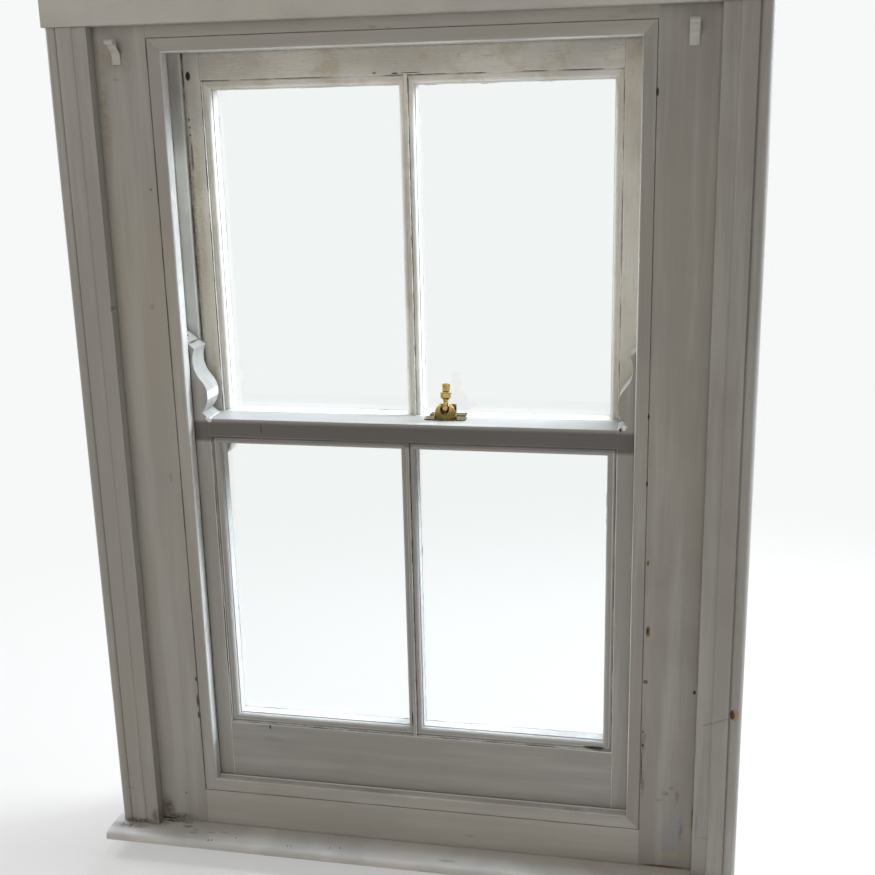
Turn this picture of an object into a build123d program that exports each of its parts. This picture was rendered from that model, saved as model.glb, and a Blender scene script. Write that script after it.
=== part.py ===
from build123d import *
import os
from math import atan2, cos, degrees, pi, radians, sin, tan

# A painted timber box sash window, two panes over two, seen from the room.
# Millimetres. X runs to the right as seen from the room, Y outwards, Z up.
# The origin is on the underside of the sill, midway between the two pulley stiles,
# under the middle of the parting beads.

os.makedirs("parts", exist_ok=True)

# Clear opening between the pulley stiles, and from the sill's inner edge to the head
opening_width = 710.0
opening_height = 1186.0

# Clearances
running_gap = 1.5        # sash face to bead or lining
side_gap = 2.0           # sash edge to pulley stile
head_gap = 2.0           # top of the upper sash to the head
foot_gap = 0.4           # lower sash to the sill it rests on
meeting_gap = 0.4        # between the two bevelled meeting faces
fit_gap = 0.2            # loose joinery such as tenons and pockets
foot_clearance = 0.02    # outer linings on the sill's slope
pin_gap = 0.2            # running bores on their pins

# Sashes
sash_thickness = 45.0
stile_width = 57.0       # outer edge to sight line
top_rail_width = 68.0
meeting_rail_width = 41.5
bottom_rail_width = 130.0
lower_sash_height = 630.1
bar_width = 24.0
bar_nosing = 5.0

# Quirked ovolo stuck on the room side of the sash members
moulding_width = 14.0
arris_radius = 2.5
quirk_depth = 4.5
ovolo_width = 9.5
ovolo_fillet = 1.3
ovolo_bulge = 3.2
moulding_depth = 13.0

# Glazing
glass_setback = 30.0     # room face of the sash to the glass
glass_thickness = 3.0
rebate_width = 9.0
glass_edge_gap = 1.0
putty_sight = 1.0        # how far the putty stays behind the sight line at the glass
putty_lip = 0.5          # flat left at the outer edge of the putty

# Joinery of the sashes
tenon_length = 28.0
tenon_haunch = 8.0
bar_tenon_length = 18.0
bar_tenon_width = 4.0

# Horns above the lower sash and below the upper one
horn_top_outer = 130.0   # height over the meeting rail at the sash's edge
horn_top_inner = 108.4   # height of the slanted cut's low end
horn_tip_inset = 26.7    # low end of the cut, in from the sash's edge
horn_turn_height = 60.0  # where the bulge turns into the hollow
horn_turn_inset = 33.5
horn_bulge_height = 33.0
horn_bulge_inset = 42.6
horn_notch_height = 9.0
horn_notch_inset = 30.7
drop_horn_length = 37.0
drop_horn_toe = 31.0     # width of the small lower horn at its end

# Box frame
stile_board = 20.0       # thickness of the pulley stiles
inner_lining_thickness = 20.0
outer_lining_thickness = 18.0
lining_width = 100.0
outer_lining_lap = 13.0
back_lining_thickness = 10.0
head_thickness = 22.0
head_upstand = 60.0      # linings run this far above the soffit
lining_tongue = 8.0
lining_tongue_thickness = 7.0
housing_depth = 8.0

# Beads
parting_thickness = 8.0
parting_proud = 18.0
parting_groove = 6.0
staff_bead_width = 20.0
staff_bead_thickness = 20.0
staff_bead_radius = 6.0
staff_bead_ease = 1.2    # chamfer beside the lining, the crack that shows there

# Sill
sill_height = 100.0
sill_nose = 105.0        # how far it reaches outwards
sill_slope = 8.0         # degrees
sill_step = 8.0
stile_housing_level = 70.0
throat_width = 8.0
throat_depth = 6.0
throat_inset = 14.0

# Trim on the room side
architrave_width = 65.0
architrave_thickness = 20.0
architrave_reveal = 80.0  # lining left showing beside the opening
fascia_width = 21.0
fascia_step = 1.5
architrave_quirk = 1.5
architrave_quirk_depth = 3.0
architrave_bead = 18.0
head_board_height = 90.0
head_board_thickness = 24.0
head_board_rise = 17.0    # lower edge above the soffit
board_top = 38.0
board_thickness = 17.0
board_projection = 56.0
board_overhang = 13.0
board_tongue = 8.0
board_tongue_thickness = 7.0
bed_mould_height = 19.0
bed_mould_depth = 30.0
bed_mould_inset = 16.0

# Pulleys, cords and weights
pulley_drop = 95.0       # pulley centre below the soffit
wheel_radius = 26.0
cord_radius_on_wheel = 22.5
wheel_thickness = 9.0
wheel_side_gap = 0.8
wheel_bore_radius = 3.2
cheek_thickness = 2.0
cheek_height = 60.0
cheek_depth = 30.0
faceplate_width = 26.0
faceplate_height = 120.0
faceplate_thickness = 2.5
axle_radius = 3.0
cord_radius = 3.0
cord_to_face = 4.0       # cord centre in front of the pulley stile's face
cord_groove_width = 12.0
cord_groove_depth = 8.0
cord_knot_depth = 10.0
cord_bend_radius = 5.0
lower_knot_drop = 220.0  # from the horn's top
upper_knot_drop = 200.0  # from the sash's top
weight_radius = 19.0
lower_weight_length = 430.0
upper_weight_length = 402.0
weight_hang = 56.0       # weight's top under the pulley centre, sash at the bottom of its run
weight_bore_depth = 22.0
weight_dome = 8.0
cord_in_weight = 20.0
cord_bore_gap = 0.3
upper_travel = 440.0
wagtail_thickness = 5.0
wagtail_gap = 3.0
wagtail_clear_of_sill = 50.0
wagtail_upstand = 16.0
wagtail_peg_radius = 3.0
wagtail_peg_length = 24.0

# Pockets that let the weights out
pocket_length = 380.0
pocket_width = 42.0
pocket_foot = 90.0       # above the sill's inner edge
pocket_bevel = 10.0

# Fastener on the meeting rails
fastener_x = 52.0
fastener_y = -12.0
base_length = 63.0
base_width = 20.0
base_thickness = 2.2
screw_pitch = 50.0
screw_radius = 2.0
screw_head_radius = 4.0
screw_length = 14.0
dome_width = 35.0
dome_depth = 19.0
dome_height = 24.0       # over the plate
pivot_height = 16.0
pivot_radius = 1.8
pivot_pin_length = 26.0
ball_radius = 6.3
ball_gap = 0.5
arm_lean = 16.0          # degrees from upright, outwards, as the arm was left
stem_radius = 4.0
stem_length = 10.0
thread_radius = 3.0
thread_length = 32.0
nut_start = 12.0
nut_length = 26.0
nut_nose_radius = 4.4
nut_nose_length = 1.8
nut_cone_length = 3.0
nut_body_radius = 8.0
nut_rim_radius = 8.7
nut_rim_start = 10.8
nut_rim_length = 1.4
nut_neck_radius = 4.6
nut_neck_length = 1.6
nut_knob_radius = 6.2
nut_knob_flare = 0.6
nut_end_wall = 3.5
nut_bore_gap = 0.3
keeper_length = 56.0
keeper_width = 17.0
keeper_slot = 9.5
keeper_lug_width = 27.0
keeper_lug_thickness = 2.0
keeper_lug_over_pivot = 3.0
keeper_setback = 0.2

# Small straps on the linings that once held a curtain rod
strap_width = 14.0
strap_thickness = 2.5
strap_inset = 46.0       # middle of the strap from the opening's edge
strap_drop = 36.0
strap_foot = 10.0
strap_bend_radius = 12.0
strap_bend_angle = 60.0
strap_lip_radius = 4.0

# Levels and planes that follow from the sizes above
half_opening = opening_width / 2
soffit = sill_height + opening_height
frame_top = soffit + head_upstand
channel = sash_thickness + 2 * running_gap
channel_edge = parting_thickness / 2 + channel
lining_face = -channel_edge - inner_lining_thickness
outer_face = channel_edge + outer_lining_thickness
lower_face = -channel_edge + running_gap
upper_face = parting_thickness / 2 + running_gap
lower_channel = -(parting_thickness + channel) / 2
upper_channel = -lower_channel
sash_half = half_opening - side_gap
sight_x = sash_half - stile_width
shoulder_x = sight_x + moulding_width
lining_outer = half_opening + lining_width
box_inner = half_opening + stile_board
lower_bottom = sill_height + foot_gap
meeting_top = lower_bottom + lower_sash_height
lower_sight_bottom = lower_bottom + bottom_rail_width
lower_sight_top = meeting_top - meeting_rail_width
upper_top = soffit - head_gap
upper_bottom = meeting_top - meeting_rail_width
upper_sight_top = upper_top - top_rail_width
horn_top = meeting_top + horn_top_outer
lower_travel = soffit - horn_top - head_gap
pulley_z = soffit - pulley_drop
cord_x = half_opening - cord_to_face
wheel_x = cord_x + cord_radius_on_wheel
weight_x = wheel_x + cord_radius_on_wheel
pivot_z = meeting_top + pivot_height
strap_x = half_opening + strap_inset
reach = 20.0             # past the wood, for cutters


def face_of(*edges):
    return make_face(Curve() + list(edges))


def polygon(*points):
    return make_face(Polyline(*points, close=True))


def along_x(profile, x0, x1):
    """A profile drawn in Y and Z, run from x0 to x1."""
    return extrude(Plane((x0, 0, 0), x_dir=(0, 1, 0), z_dir=(1, 0, 0)) * profile, amount=x1 - x0)


def along_y(profile, y0, y1):
    """A profile drawn in X and Z, run from y0 to y1."""
    return extrude(Plane((0, y1, 0), x_dir=(1, 0, 0), z_dir=(0, -1, 0)) * profile, amount=y1 - y0)


def along_z(profile, z0, z1):
    """A profile drawn in X and Y, run from z0 to z1."""
    return extrude(Plane((0, 0, z0)) * profile, amount=z1 - z0)


def block(x0, x1, y0, y1, z0, z1):
    """A plain board between its lowest and highest corners."""
    centre = ((x0 + x1) / 2, (y0 + y1) / 2, (z0 + z1) / 2)
    return Pos(*centre) * Box(abs(x1 - x0), abs(y1 - y0), abs(z1 - z0))


def rod_x(x0, x1, y, z, radius):
    return Pos((x0 + x1) / 2, y, z) * Rot(0, 90, 0) * Cylinder(radius, abs(x1 - x0))


def rod_y(x, y0, y1, z, radius):
    return Pos(x, (y0 + y1) / 2, z) * Rot(90, 0, 0) * Cylinder(radius, abs(y1 - y0))


def rod_z(x, y, z0, z1, radius):
    return Pos(x, y, (z0 + z1) / 2) * Cylinder(radius, abs(z1 - z0))


def other_side(shape):
    return mirror(shape, about=Plane.YZ)


def sill_top(y):
    """Height of the weathered top of the sill at a distance y outwards."""
    fall = tan(radians(sill_slope))
    if y <= -channel_edge:
        return sill_height
    if y <= -parting_thickness / 2:
        return sill_height - (y + channel_edge) * fall
    return sill_height - sill_step - (y + channel_edge) * fall


def under_weathering(rise=0.0):
    """Everything below the sill's top, lifted by rise, to cut pieces that stand on it."""
    step_y = -parting_thickness / 2
    outer_y = sill_nose + reach
    profile = polygon(
        (lining_face - reach, -reach),
        (lining_face - reach, sill_height + rise),
        (-channel_edge, sill_height + rise),
        (step_y, sill_top(step_y) + rise),
        (step_y, sill_top(step_y + 0.001) + rise),
        (outer_y, sill_top(outer_y) + rise),
        (outer_y, -reach),
    )
    return along_x(profile, -lining_outer - reach, lining_outer + reach)


def make_sill():
    """One stepped and throated section, notched for the inner linings and housed for the stiles."""
    step_y = -parting_thickness / 2
    profile = polygon(
        (lining_face, 0),
        (lining_face, sill_height),
        (-channel_edge, sill_height),
        (step_y, sill_top(step_y)),
        (step_y, sill_top(step_y + 0.001)),
        (sill_nose, sill_top(sill_nose)),
        (sill_nose, 0),
        (sill_nose - throat_inset, 0),
        (sill_nose - throat_inset, throat_depth),
        (sill_nose - throat_inset - throat_width, throat_depth),
        (sill_nose - throat_inset - throat_width, 0),
    )
    sill = along_x(profile, -lining_outer, lining_outer)
    notch = block(half_opening, lining_outer + reach, lining_face - reach, -channel_edge, -reach, frame_top)
    housing = block(half_opening, box_inner, -channel_edge, channel_edge, stile_housing_level, frame_top)
    tongue_z = board_top - board_thickness / 2
    groove = block(
        -half_opening, half_opening, lining_face - reach, lining_face + board_tongue + fit_gap,
        tongue_z - board_tongue_thickness / 2 - fit_gap, tongue_z + board_tongue_thickness / 2 + fit_gap,
    )
    for cut in (notch, other_side(notch), housing, other_side(housing), groove):
        sill -= cut
    return sill


def pocket_outline(gap):
    """The pocket in a pulley stile, seen from the side: both ends are bevelled."""
    foot = sill_height + pocket_foot
    top = foot + pocket_length
    return polygon(
        (half_opening, foot + gap),
        (half_opening, top - gap),
        (box_inner, top - pocket_bevel - gap),
        (box_inner, foot + pocket_bevel + gap),
    )


def pocket_span(gap):
    inner = -channel_edge + (channel - pocket_width) / 2
    return inner + gap, inner + pocket_width - gap


def make_pulley_stile():
    """The right-hand stile, tongued to both linings, with pulley mortises, pocket and bead groove."""
    top = soffit + housing_depth
    stile = block(half_opening, box_inner, -channel_edge, channel_edge, stile_housing_level, top)
    tongue_x = half_opening + (stile_board - lining_tongue_thickness) / 2
    for side in (-1, 1):
        tongue = block(
            tongue_x, tongue_x + lining_tongue_thickness,
            side * channel_edge, side * (channel_edge + lining_tongue), sill_height, soffit,
        )
        stile += tongue
    stile -= block(
        half_opening, half_opening + parting_groove,
        -parting_thickness / 2, parting_thickness / 2, -reach, soffit + reach,
    )
    for y in (lower_channel, upper_channel):
        stile -= block(
            half_opening - reach, half_opening + faceplate_thickness,
            y - faceplate_width / 2 - fit_gap, y + faceplate_width / 2 + fit_gap,
            pulley_z - faceplate_height / 2 - fit_gap, pulley_z + faceplate_height / 2 + fit_gap,
        )
        cheek_y = case_half_width() + fit_gap
        stile -= block(
            half_opening - reach, box_inner + reach, y - cheek_y, y + cheek_y,
            pulley_z - cheek_height / 2 - fit_gap, pulley_z + cheek_height / 2 + fit_gap,
        )
    stile -= along_y(pocket_outline(0), *pocket_span(0))
    return stile


def make_pocket_piece():
    return along_y(pocket_outline(fit_gap), *pocket_span(fit_gap))


def make_head():
    """Board over both boxes, housed for the stiles, grooved for the parting bead."""
    head = block(-lining_outer, lining_outer, -channel_edge, channel_edge, soffit, soffit + head_thickness)
    tongue_z = soffit + (head_thickness - lining_tongue_thickness) / 2
    for side, half in ((-1, half_opening), (1, half_opening - outer_lining_lap)):
        head += block(
            -half, half, side * channel_edge, side * (channel_edge + lining_tongue),
            tongue_z, tongue_z + lining_tongue_thickness,
        )
    housing = block(half_opening, box_inner, -channel_edge, channel_edge, soffit - reach, soffit + housing_depth)
    slot = wagtail_slot()
    head -= block(
        -half_opening, half_opening, -parting_thickness / 2, parting_thickness / 2,
        soffit - reach, soffit + parting_groove,
    )
    for cut in (housing, other_side(housing), slot, other_side(slot)):
        head -= cut
    return head


def wagtail_span():
    return box_inner + wagtail_gap, lining_outer - back_lining_thickness - wagtail_gap


def wagtail_slot():
    x0, x1 = wagtail_span()
    half = wagtail_thickness / 2 + fit_gap
    return block(x0 - fit_gap, x1 + fit_gap, -half, half, soffit - reach, frame_top)


def make_wagtail():
    """Thin board hung through the head on a peg, between the two weights of a box."""
    x0, x1 = wagtail_span()
    half = wagtail_thickness / 2
    top = soffit + head_thickness + wagtail_upstand
    board = block(x0, x1, -half, half, sill_height + wagtail_clear_of_sill, top)
    peg_x = (x0 + x1) / 2
    peg_z = soffit + head_thickness + wagtail_peg_radius
    board -= rod_y(peg_x, -reach, reach, peg_z, wagtail_peg_radius)
    peg = rod_y(peg_x, -wagtail_peg_length / 2, wagtail_peg_length / 2, peg_z, wagtail_peg_radius)
    return [board, peg]


def make_inner_lining():
    """Right-hand room-side lining, grooved for the stile's tongue."""
    lining = block(half_opening, lining_outer, lining_face, -channel_edge, 0, frame_top)
    return lining - tongue_groove(-1)


def tongue_groove(side):
    x0 = half_opening + (stile_board - lining_tongue_thickness) / 2 - fit_gap
    x1 = x0 + lining_tongue_thickness + 2 * fit_gap
    y1 = side * (channel_edge + lining_tongue + fit_gap)
    return block(x0, x1, side * channel_edge, y1, sill_height - fit_gap, soffit + fit_gap)


def make_outer_lining():
    """Right-hand outer lining: it laps past the stile to stop the upper sash."""
    inner = half_opening - outer_lining_lap
    lining = block(inner, lining_outer, channel_edge, outer_face, 0, frame_top)
    return lining - tongue_groove(1) - under_weathering(foot_clearance)


def make_head_lining(inner):
    """Lining over the opening, grooved for the head's tongue."""
    tongue_z = soffit + head_thickness / 2
    half_groove = lining_tongue_thickness / 2 + fit_gap
    if inner:
        lining = block(-half_opening, half_opening, lining_face, -channel_edge, soffit, frame_top)
        side = -1
    else:
        half = half_opening - outer_lining_lap
        lining = block(-half, half, channel_edge, outer_face, soffit - outer_lining_lap, frame_top)
        side = 1
    groove = block(
        -half_opening - reach, half_opening + reach,
        side * channel_edge, side * (channel_edge + lining_tongue + fit_gap),
        tongue_z - half_groove, tongue_z + half_groove,
    )
    return lining - groove


def make_back_lining():
    lining = block(lining_outer - back_lining_thickness, lining_outer, -channel_edge, channel_edge, 0, soffit)
    return lining - under_weathering()


def make_parting_beads():
    """Two upright beads in the stiles and one across the head."""
    half = parting_thickness / 2
    inner = half_opening - parting_proud
    upright = block(inner, half_opening + parting_groove, -half, half, 0, soffit)
    upright -= under_weathering()
    across = block(-inner, inner, -half, half, soffit - parting_proud, soffit + parting_groove)
    return [upright, other_side(upright), across]


def staff_section():
    """Section of the staff bead: u across the opening, w back from the lining's face."""
    r = staff_bead_radius
    ease = staff_bead_ease
    return face_of(
        Line((ease, 0), (staff_bead_width - r, 0)),
        RadiusArc((staff_bead_width - r, 0), (staff_bead_width, r), -r),
        Line((staff_bead_width, r), (staff_bead_width, staff_bead_thickness)),
        Line((staff_bead_width, staff_bead_thickness), (0, staff_bead_thickness)),
        Line((0, staff_bead_thickness), (0, ease)),
        Line((0, ease), (ease, 0)),
    )


def make_staff_beads():
    """Four mitred lengths round the opening, flush with the room face of the linings."""
    section = staff_section()
    w = staff_bead_width
    left_plane = Plane((-half_opening, lining_face, sill_height), x_dir=(1, 0, 0), z_dir=(0, 0, 1))
    sill_plane = Plane((half_opening, lining_face, sill_height), x_dir=(0, 0, 1), z_dir=(-1, 0, 0))
    left = extrude(left_plane * section, amount=opening_height)
    sill = extrude(sill_plane * section, amount=opening_width)
    head = mirror(sill, about=Plane.XY.offset((sill_height + soffit) / 2))
    upright = polygon(
        (-half_opening, sill_height), (-half_opening, soffit),
        (-half_opening + w, soffit - w), (-half_opening + w, sill_height + w),
    )
    level = polygon(
        (-half_opening, sill_height), (half_opening, sill_height),
        (half_opening - w, sill_height + w), (-half_opening + w, sill_height + w),
    )
    left &= along_y(upright, lining_face - reach, reach)
    mitred = along_y(level, lining_face - reach, reach)
    sill &= mitred
    head &= mirror(mitred, about=Plane.XY.offset((sill_height + soffit) / 2))
    return left, other_side(left), sill, head


def make_architrave():
    """Right-hand architrave: stepped fascia, a quirk, and a rounded outer bead."""
    x0 = half_opening + architrave_reveal
    x1 = x0 + architrave_width
    front = lining_face - architrave_thickness
    bead_x = x1 - architrave_bead
    quirk_x = bead_x - architrave_quirk
    floor = front + architrave_quirk_depth
    profile = face_of(
        Line((x0, lining_face), (x0, front + fascia_step)),
        Line((x0, front + fascia_step), (x0 + fascia_width, front + fascia_step)),
        Line((x0 + fascia_width, front + fascia_step), (x0 + fascia_width + fascia_step, front)),
        Line((x0 + fascia_width + fascia_step, front), (quirk_x, front)),
        Line((quirk_x, front), (quirk_x, floor)),
        Line((quirk_x, floor), (bead_x, floor)),
        ThreePointArc((bead_x, floor), (bead_x + architrave_bead * 0.45, front),
                      (x1, front + architrave_bead / 2)),
        Line((x1, front + architrave_bead / 2), (x1, lining_face)),
        Line((x1, lining_face), (x0, lining_face)),
    )
    return along_z(profile, board_top, soffit + head_board_rise)


def make_head_board():
    x1 = half_opening + architrave_reveal + architrave_width
    z0 = soffit + head_board_rise
    return block(-x1, x1, lining_face - head_board_thickness, lining_face, z0, z0 + head_board_height)


def board_half_length():
    return half_opening + architrave_reveal + architrave_width + board_overhang


def make_window_board():
    """Board with a rounded nosing, tongued into the sill."""
    half = board_half_length()
    bottom = board_top - board_thickness
    front = lining_face - board_projection
    r = board_thickness / 2
    profile = face_of(
        Line((lining_face, bottom), (lining_face, board_top)),
        Line((lining_face, board_top), (front + r, board_top)),
        ThreePointArc((front + r, board_top), (front, bottom + r), (front + r, bottom)),
        Line((front + r, bottom), (lining_face, bottom)),
    )
    tongue = block(
        -half_opening + fit_gap, half_opening - fit_gap, lining_face, lining_face + board_tongue,
        board_top - r - board_tongue_thickness / 2, board_top - r + board_tongue_thickness / 2,
    )
    return along_x(profile, -half, half) + tongue


def make_bed_mould():
    """Cove under the window board."""
    half = board_half_length() - bed_mould_inset
    top = board_top - board_thickness
    bottom = top - bed_mould_height
    lip = 3.0
    toe = 5.0
    profile = face_of(
        Line((lining_face, bottom), (lining_face, top)),
        Line((lining_face, top), (lining_face - bed_mould_depth, top)),
        Line((lining_face - bed_mould_depth, top), (lining_face - bed_mould_depth, top - lip)),
        ThreePointArc(
            (lining_face - bed_mould_depth, top - lip),
            (lining_face - toe - (bed_mould_depth - toe) * 0.4, top - lip - (bed_mould_height - lip) * 0.4),
            (lining_face - toe, bottom),
        ),
        Line((lining_face - toe, bottom), (lining_face, bottom)),
    )
    return along_x(profile, -half, half)


def band(centre, radius, start, end):
    """A bent length of strap: a ring sector drawn in Y and Z, angles in degrees."""
    inner = radius - strap_thickness / 2
    outer = radius + strap_thickness / 2

    def at(r, angle):
        return (centre[0] + r * cos(radians(angle)), centre[1] + r * sin(radians(angle)))

    middle = (start + end) / 2
    return face_of(
        ThreePointArc(at(outer, start), at(outer, middle), at(outer, end)),
        Line(at(outer, end), at(inner, end)),
        ThreePointArc(at(inner, end), at(inner, middle), at(inner, start)),
        Line(at(inner, start), at(outer, start)),
    )


def make_strap():
    """Bent strap on the right-hand lining: a flat foot, an S bend and a curled lip."""
    line_y = lining_face - strap_thickness / 2
    foot_z = soffit - strap_drop
    bend_z = foot_z + strap_foot
    swing = strap_bend_radius * cos(radians(strap_bend_angle))
    climb = strap_bend_radius * sin(radians(strap_bend_angle))
    first = (line_y - strap_bend_radius, bend_z)
    second = (first[0] + 2 * swing, bend_z + 2 * climb)
    lip = (second[0] - strap_bend_radius - strap_lip_radius, second[1])
    foot = polygon(
        (lining_face, foot_z), (lining_face, bend_z),
        (lining_face - strap_thickness, bend_z), (lining_face - strap_thickness, foot_z),
    )
    x0 = strap_x - strap_width / 2
    strap = along_x(foot, x0, x0 + strap_width)
    for piece in (
        band(first, strap_bend_radius, 0, strap_bend_angle),
        band(second, strap_bend_radius, 180 + strap_bend_angle, 180),
        band(lip, strap_lip_radius, 0, 180),
    ):
        strap += along_x(piece, x0, x0 + strap_width)
    return strap


def moulded_section(width):
    """Sash member section: u from the sight line outwards, w back from the room face."""
    m = moulding_width
    middle_u = (ovolo_width + ovolo_fillet) / 2
    start_w = quirk_depth
    end_w = moulding_depth - 1
    chord_u = ovolo_fillet - ovolo_width
    chord_w = end_w - start_w
    chord = (chord_u ** 2 + chord_w ** 2) ** 0.5
    crown = (
        middle_u - ovolo_bulge * chord_w / chord,
        (start_w + end_w) / 2 + ovolo_bulge * chord_u / chord,
    )
    return face_of(
        Line((width, 0), (m, 0)),
        RadiusArc((m, 0), (m - arris_radius, arris_radius), arris_radius),
        Line((m - arris_radius, arris_radius), (m - arris_radius, quirk_depth)),
        Line((m - arris_radius, quirk_depth), (ovolo_width, start_w)),
        ThreePointArc((ovolo_width, start_w), crown, (ovolo_fillet, end_w)),
        Line((ovolo_fillet, end_w), (ovolo_fillet, moulding_depth)),
        Line((ovolo_fillet, moulding_depth), (0, moulding_depth)),
        Line((0, moulding_depth), (0, sash_thickness)),
        Line((0, sash_thickness), (width, sash_thickness)),
        Line((width, sash_thickness), (width, 0)),
    )


def bar_section():
    """Glazing bar: a narrow nosing between two ovolos."""
    half = bar_width / 2
    nose = bar_nosing / 2
    middle_x = half - (half - nose + ovolo_fillet) / 2
    start_w = quirk_depth
    end_w = moulding_depth - 1
    chord_x = (half - ovolo_fillet) - nose
    chord_w = end_w - start_w
    chord = (chord_x ** 2 + chord_w ** 2) ** 0.5
    crown_x = middle_x + ovolo_bulge * chord_w / chord
    crown_w = (start_w + end_w) / 2 - ovolo_bulge * chord_x / chord
    edges = []
    for side in (-1, 1):
        edges += [
            Line((side * nose, 0), (side * nose, start_w)),
            ThreePointArc(
                (side * nose, start_w), (side * crown_x, crown_w), (side * (half - ovolo_fillet), end_w)
            ),
            Line((side * (half - ovolo_fillet), end_w), (side * (half - ovolo_fillet), moulding_depth)),
            Line((side * (half - ovolo_fillet), moulding_depth), (side * half, moulding_depth)),
            Line((side * half, moulding_depth), (side * half, sash_thickness)),
        ]
    edges += [Line((-nose, 0), (nose, 0)), Line((-half, sash_thickness), (half, sash_thickness))]
    return face_of(*edges)


def stile_blank(face, low, high):
    """Right-hand moulded stile, uncut."""
    plane = Plane((sight_x, face, low), x_dir=(1, 0, 0), z_dir=(0, 0, 1))
    return extrude(plane * moulded_section(stile_width), amount=high - low)


def rail_blank(face, sight, width, upwards):
    """Moulded rail across the sash; its moulding points down where upwards is true."""
    half = shoulder_x
    rise = 1 if upwards else -1
    plane = Plane((half * rise, face, sight), x_dir=(0, 0, rise), z_dir=(-rise, 0, 0))
    return extrude(plane * moulded_section(width), amount=2 * half)


def stile_region(low, high, sight_low, sight_high, mitre_low, mitre_high):
    """Outline of the right-hand stile between its mitres, in X and Z."""
    m = moulding_width
    low_side = sight_low - m if mitre_low else sight_low
    high_side = sight_high + m if mitre_high else sight_high
    return polygon(
        (sash_half, low), (sash_half, high), (shoulder_x, high), (shoulder_x, high_side),
        (sight_x, sight_high), (sight_x, sight_low), (shoulder_x, low_side), (shoulder_x, low),
    )


def rail_region(sight, width, upwards):
    """Outline of a moulded rail with mitred ends, in X and Z."""
    rise = 1 if upwards else -1
    return polygon(
        (-sight_x, sight), (sight_x, sight), (shoulder_x, sight + rise * moulding_width),
        (shoulder_x, sight + rise * width), (-shoulder_x, sight + rise * width),
        (-shoulder_x, sight + rise * moulding_width),
    )


def bar_region(sight_low, sight_high, mitre_low):
    """Outline of the bar, scribed to the mouldings of the rails at its ends."""
    half = bar_width / 2
    nose = bar_nosing / 2
    scribe = half - nose
    top = [
        (half, sight_high), (nose, sight_high + scribe), (nose, sight_high + moulding_width),
        (-nose, sight_high + moulding_width), (-nose, sight_high + scribe), (-half, sight_high),
    ]
    if mitre_low:
        foot = [
            (-half, sight_low), (-nose, sight_low - scribe), (-nose, sight_low - moulding_width),
            (nose, sight_low - moulding_width), (nose, sight_low - scribe), (half, sight_low),
        ]
    else:
        foot = [(-half, sight_low), (half, sight_low)]
    return polygon(*top, *foot)


def through_sash(region, face):
    return along_y(region, face - reach, face + sash_thickness + reach)


def pane_span():
    """Sight size of the right-hand pane across the sash."""
    return bar_width / 2, sight_x


def rebate(face, sight_low, sight_high):
    """Room for glass and putty of the right-hand pane, open to the outside."""
    x0, x1 = pane_span()
    return block(
        x0 - rebate_width, x1 + rebate_width, face + glass_setback, face + sash_thickness + reach,
        sight_low - rebate_width, sight_high + rebate_width,
    )


def make_pane(face, sight_low, sight_high):
    x0, x1 = pane_span()
    edge = rebate_width - glass_edge_gap
    y0 = face + glass_setback
    return block(x0 - edge, x1 + edge, y0, y0 + glass_thickness, sight_low - edge, sight_high + edge)


def make_putty(face, sight_low, sight_high):
    """Bevelled putty ring that fills the rebate outside the right-hand pane."""
    x0, x1 = pane_span()
    y0 = face + glass_setback + glass_thickness
    y1 = face + sash_thickness
    ring = block(
        x0 - rebate_width, x1 + rebate_width, y0, y1, sight_low - rebate_width, sight_high + rebate_width
    )
    opening = Rectangle(x1 - x0 + 2 * putty_sight, sight_high - sight_low + 2 * putty_sight)
    spread = rebate_width - putty_sight - putty_lip
    splay = degrees(atan2(spread, y1 - y0))
    level = Plane(((x0 + x1) / 2, y0, (sight_low + sight_high) / 2), x_dir=(1, 0, 0), z_dir=(0, 1, 0))
    return ring - extrude(level * opening, amount=y1 - y0, taper=-splay)


def tenon(face, z0, z1, gap=0.0):
    """Tenon on the right-hand end of a rail, or its mortise when a gap is given."""
    return block(
        shoulder_x - gap, shoulder_x + tenon_length + gap,
        face + moulding_depth - gap, face + glass_setback + gap, z0 - gap, z1 + gap,
    )


def bar_tenon(face, z0, z1, gap=0.0):
    half = bar_tenon_width / 2 + gap
    return block(-half, half, face + moulding_depth - gap, face + glass_setback + gap, z0 - gap, z1 + gap)


def cord_groove(y, knot_z, top):
    """Groove in the right-hand stile's edge and the hole that holds the cord's end."""
    floor = sash_half - cord_groove_depth
    groove = block(
        floor, sash_half + reach, y - cord_groove_width / 2, y + cord_groove_width / 2,
        knot_z - cord_groove_width / 2, top + reach,
    )
    hole_radius = cord_radius + cord_bore_gap
    return groove + rod_x(floor - cord_knot_depth, floor + 1, y, knot_z, hole_radius)


def horn_outline():
    """Right-hand horn: notch, bulge, hollow and slanted top cut, in X and Z."""
    def at(inset, height):
        return (sash_half - inset, meeting_top + height)

    root = (shoulder_x, meeting_top)
    notch = at(horn_notch_inset, horn_notch_height)
    bulge = at(horn_bulge_inset, horn_bulge_height)
    turn = at(horn_turn_inset, horn_turn_height)
    tip = at(horn_tip_inset, horn_top_inner)
    lower_curve = ThreePointArc(notch, bulge, turn)
    return face_of(
        Line(root, notch),
        lower_curve,
        TangentArc(turn, tip, tangent=lower_curve % 1),
        Line(tip, at(0, horn_top_outer)),
        Line(at(0, horn_top_outer), (sash_half, meeting_top)),
        Line((sash_half, meeting_top), root),
    )


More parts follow.
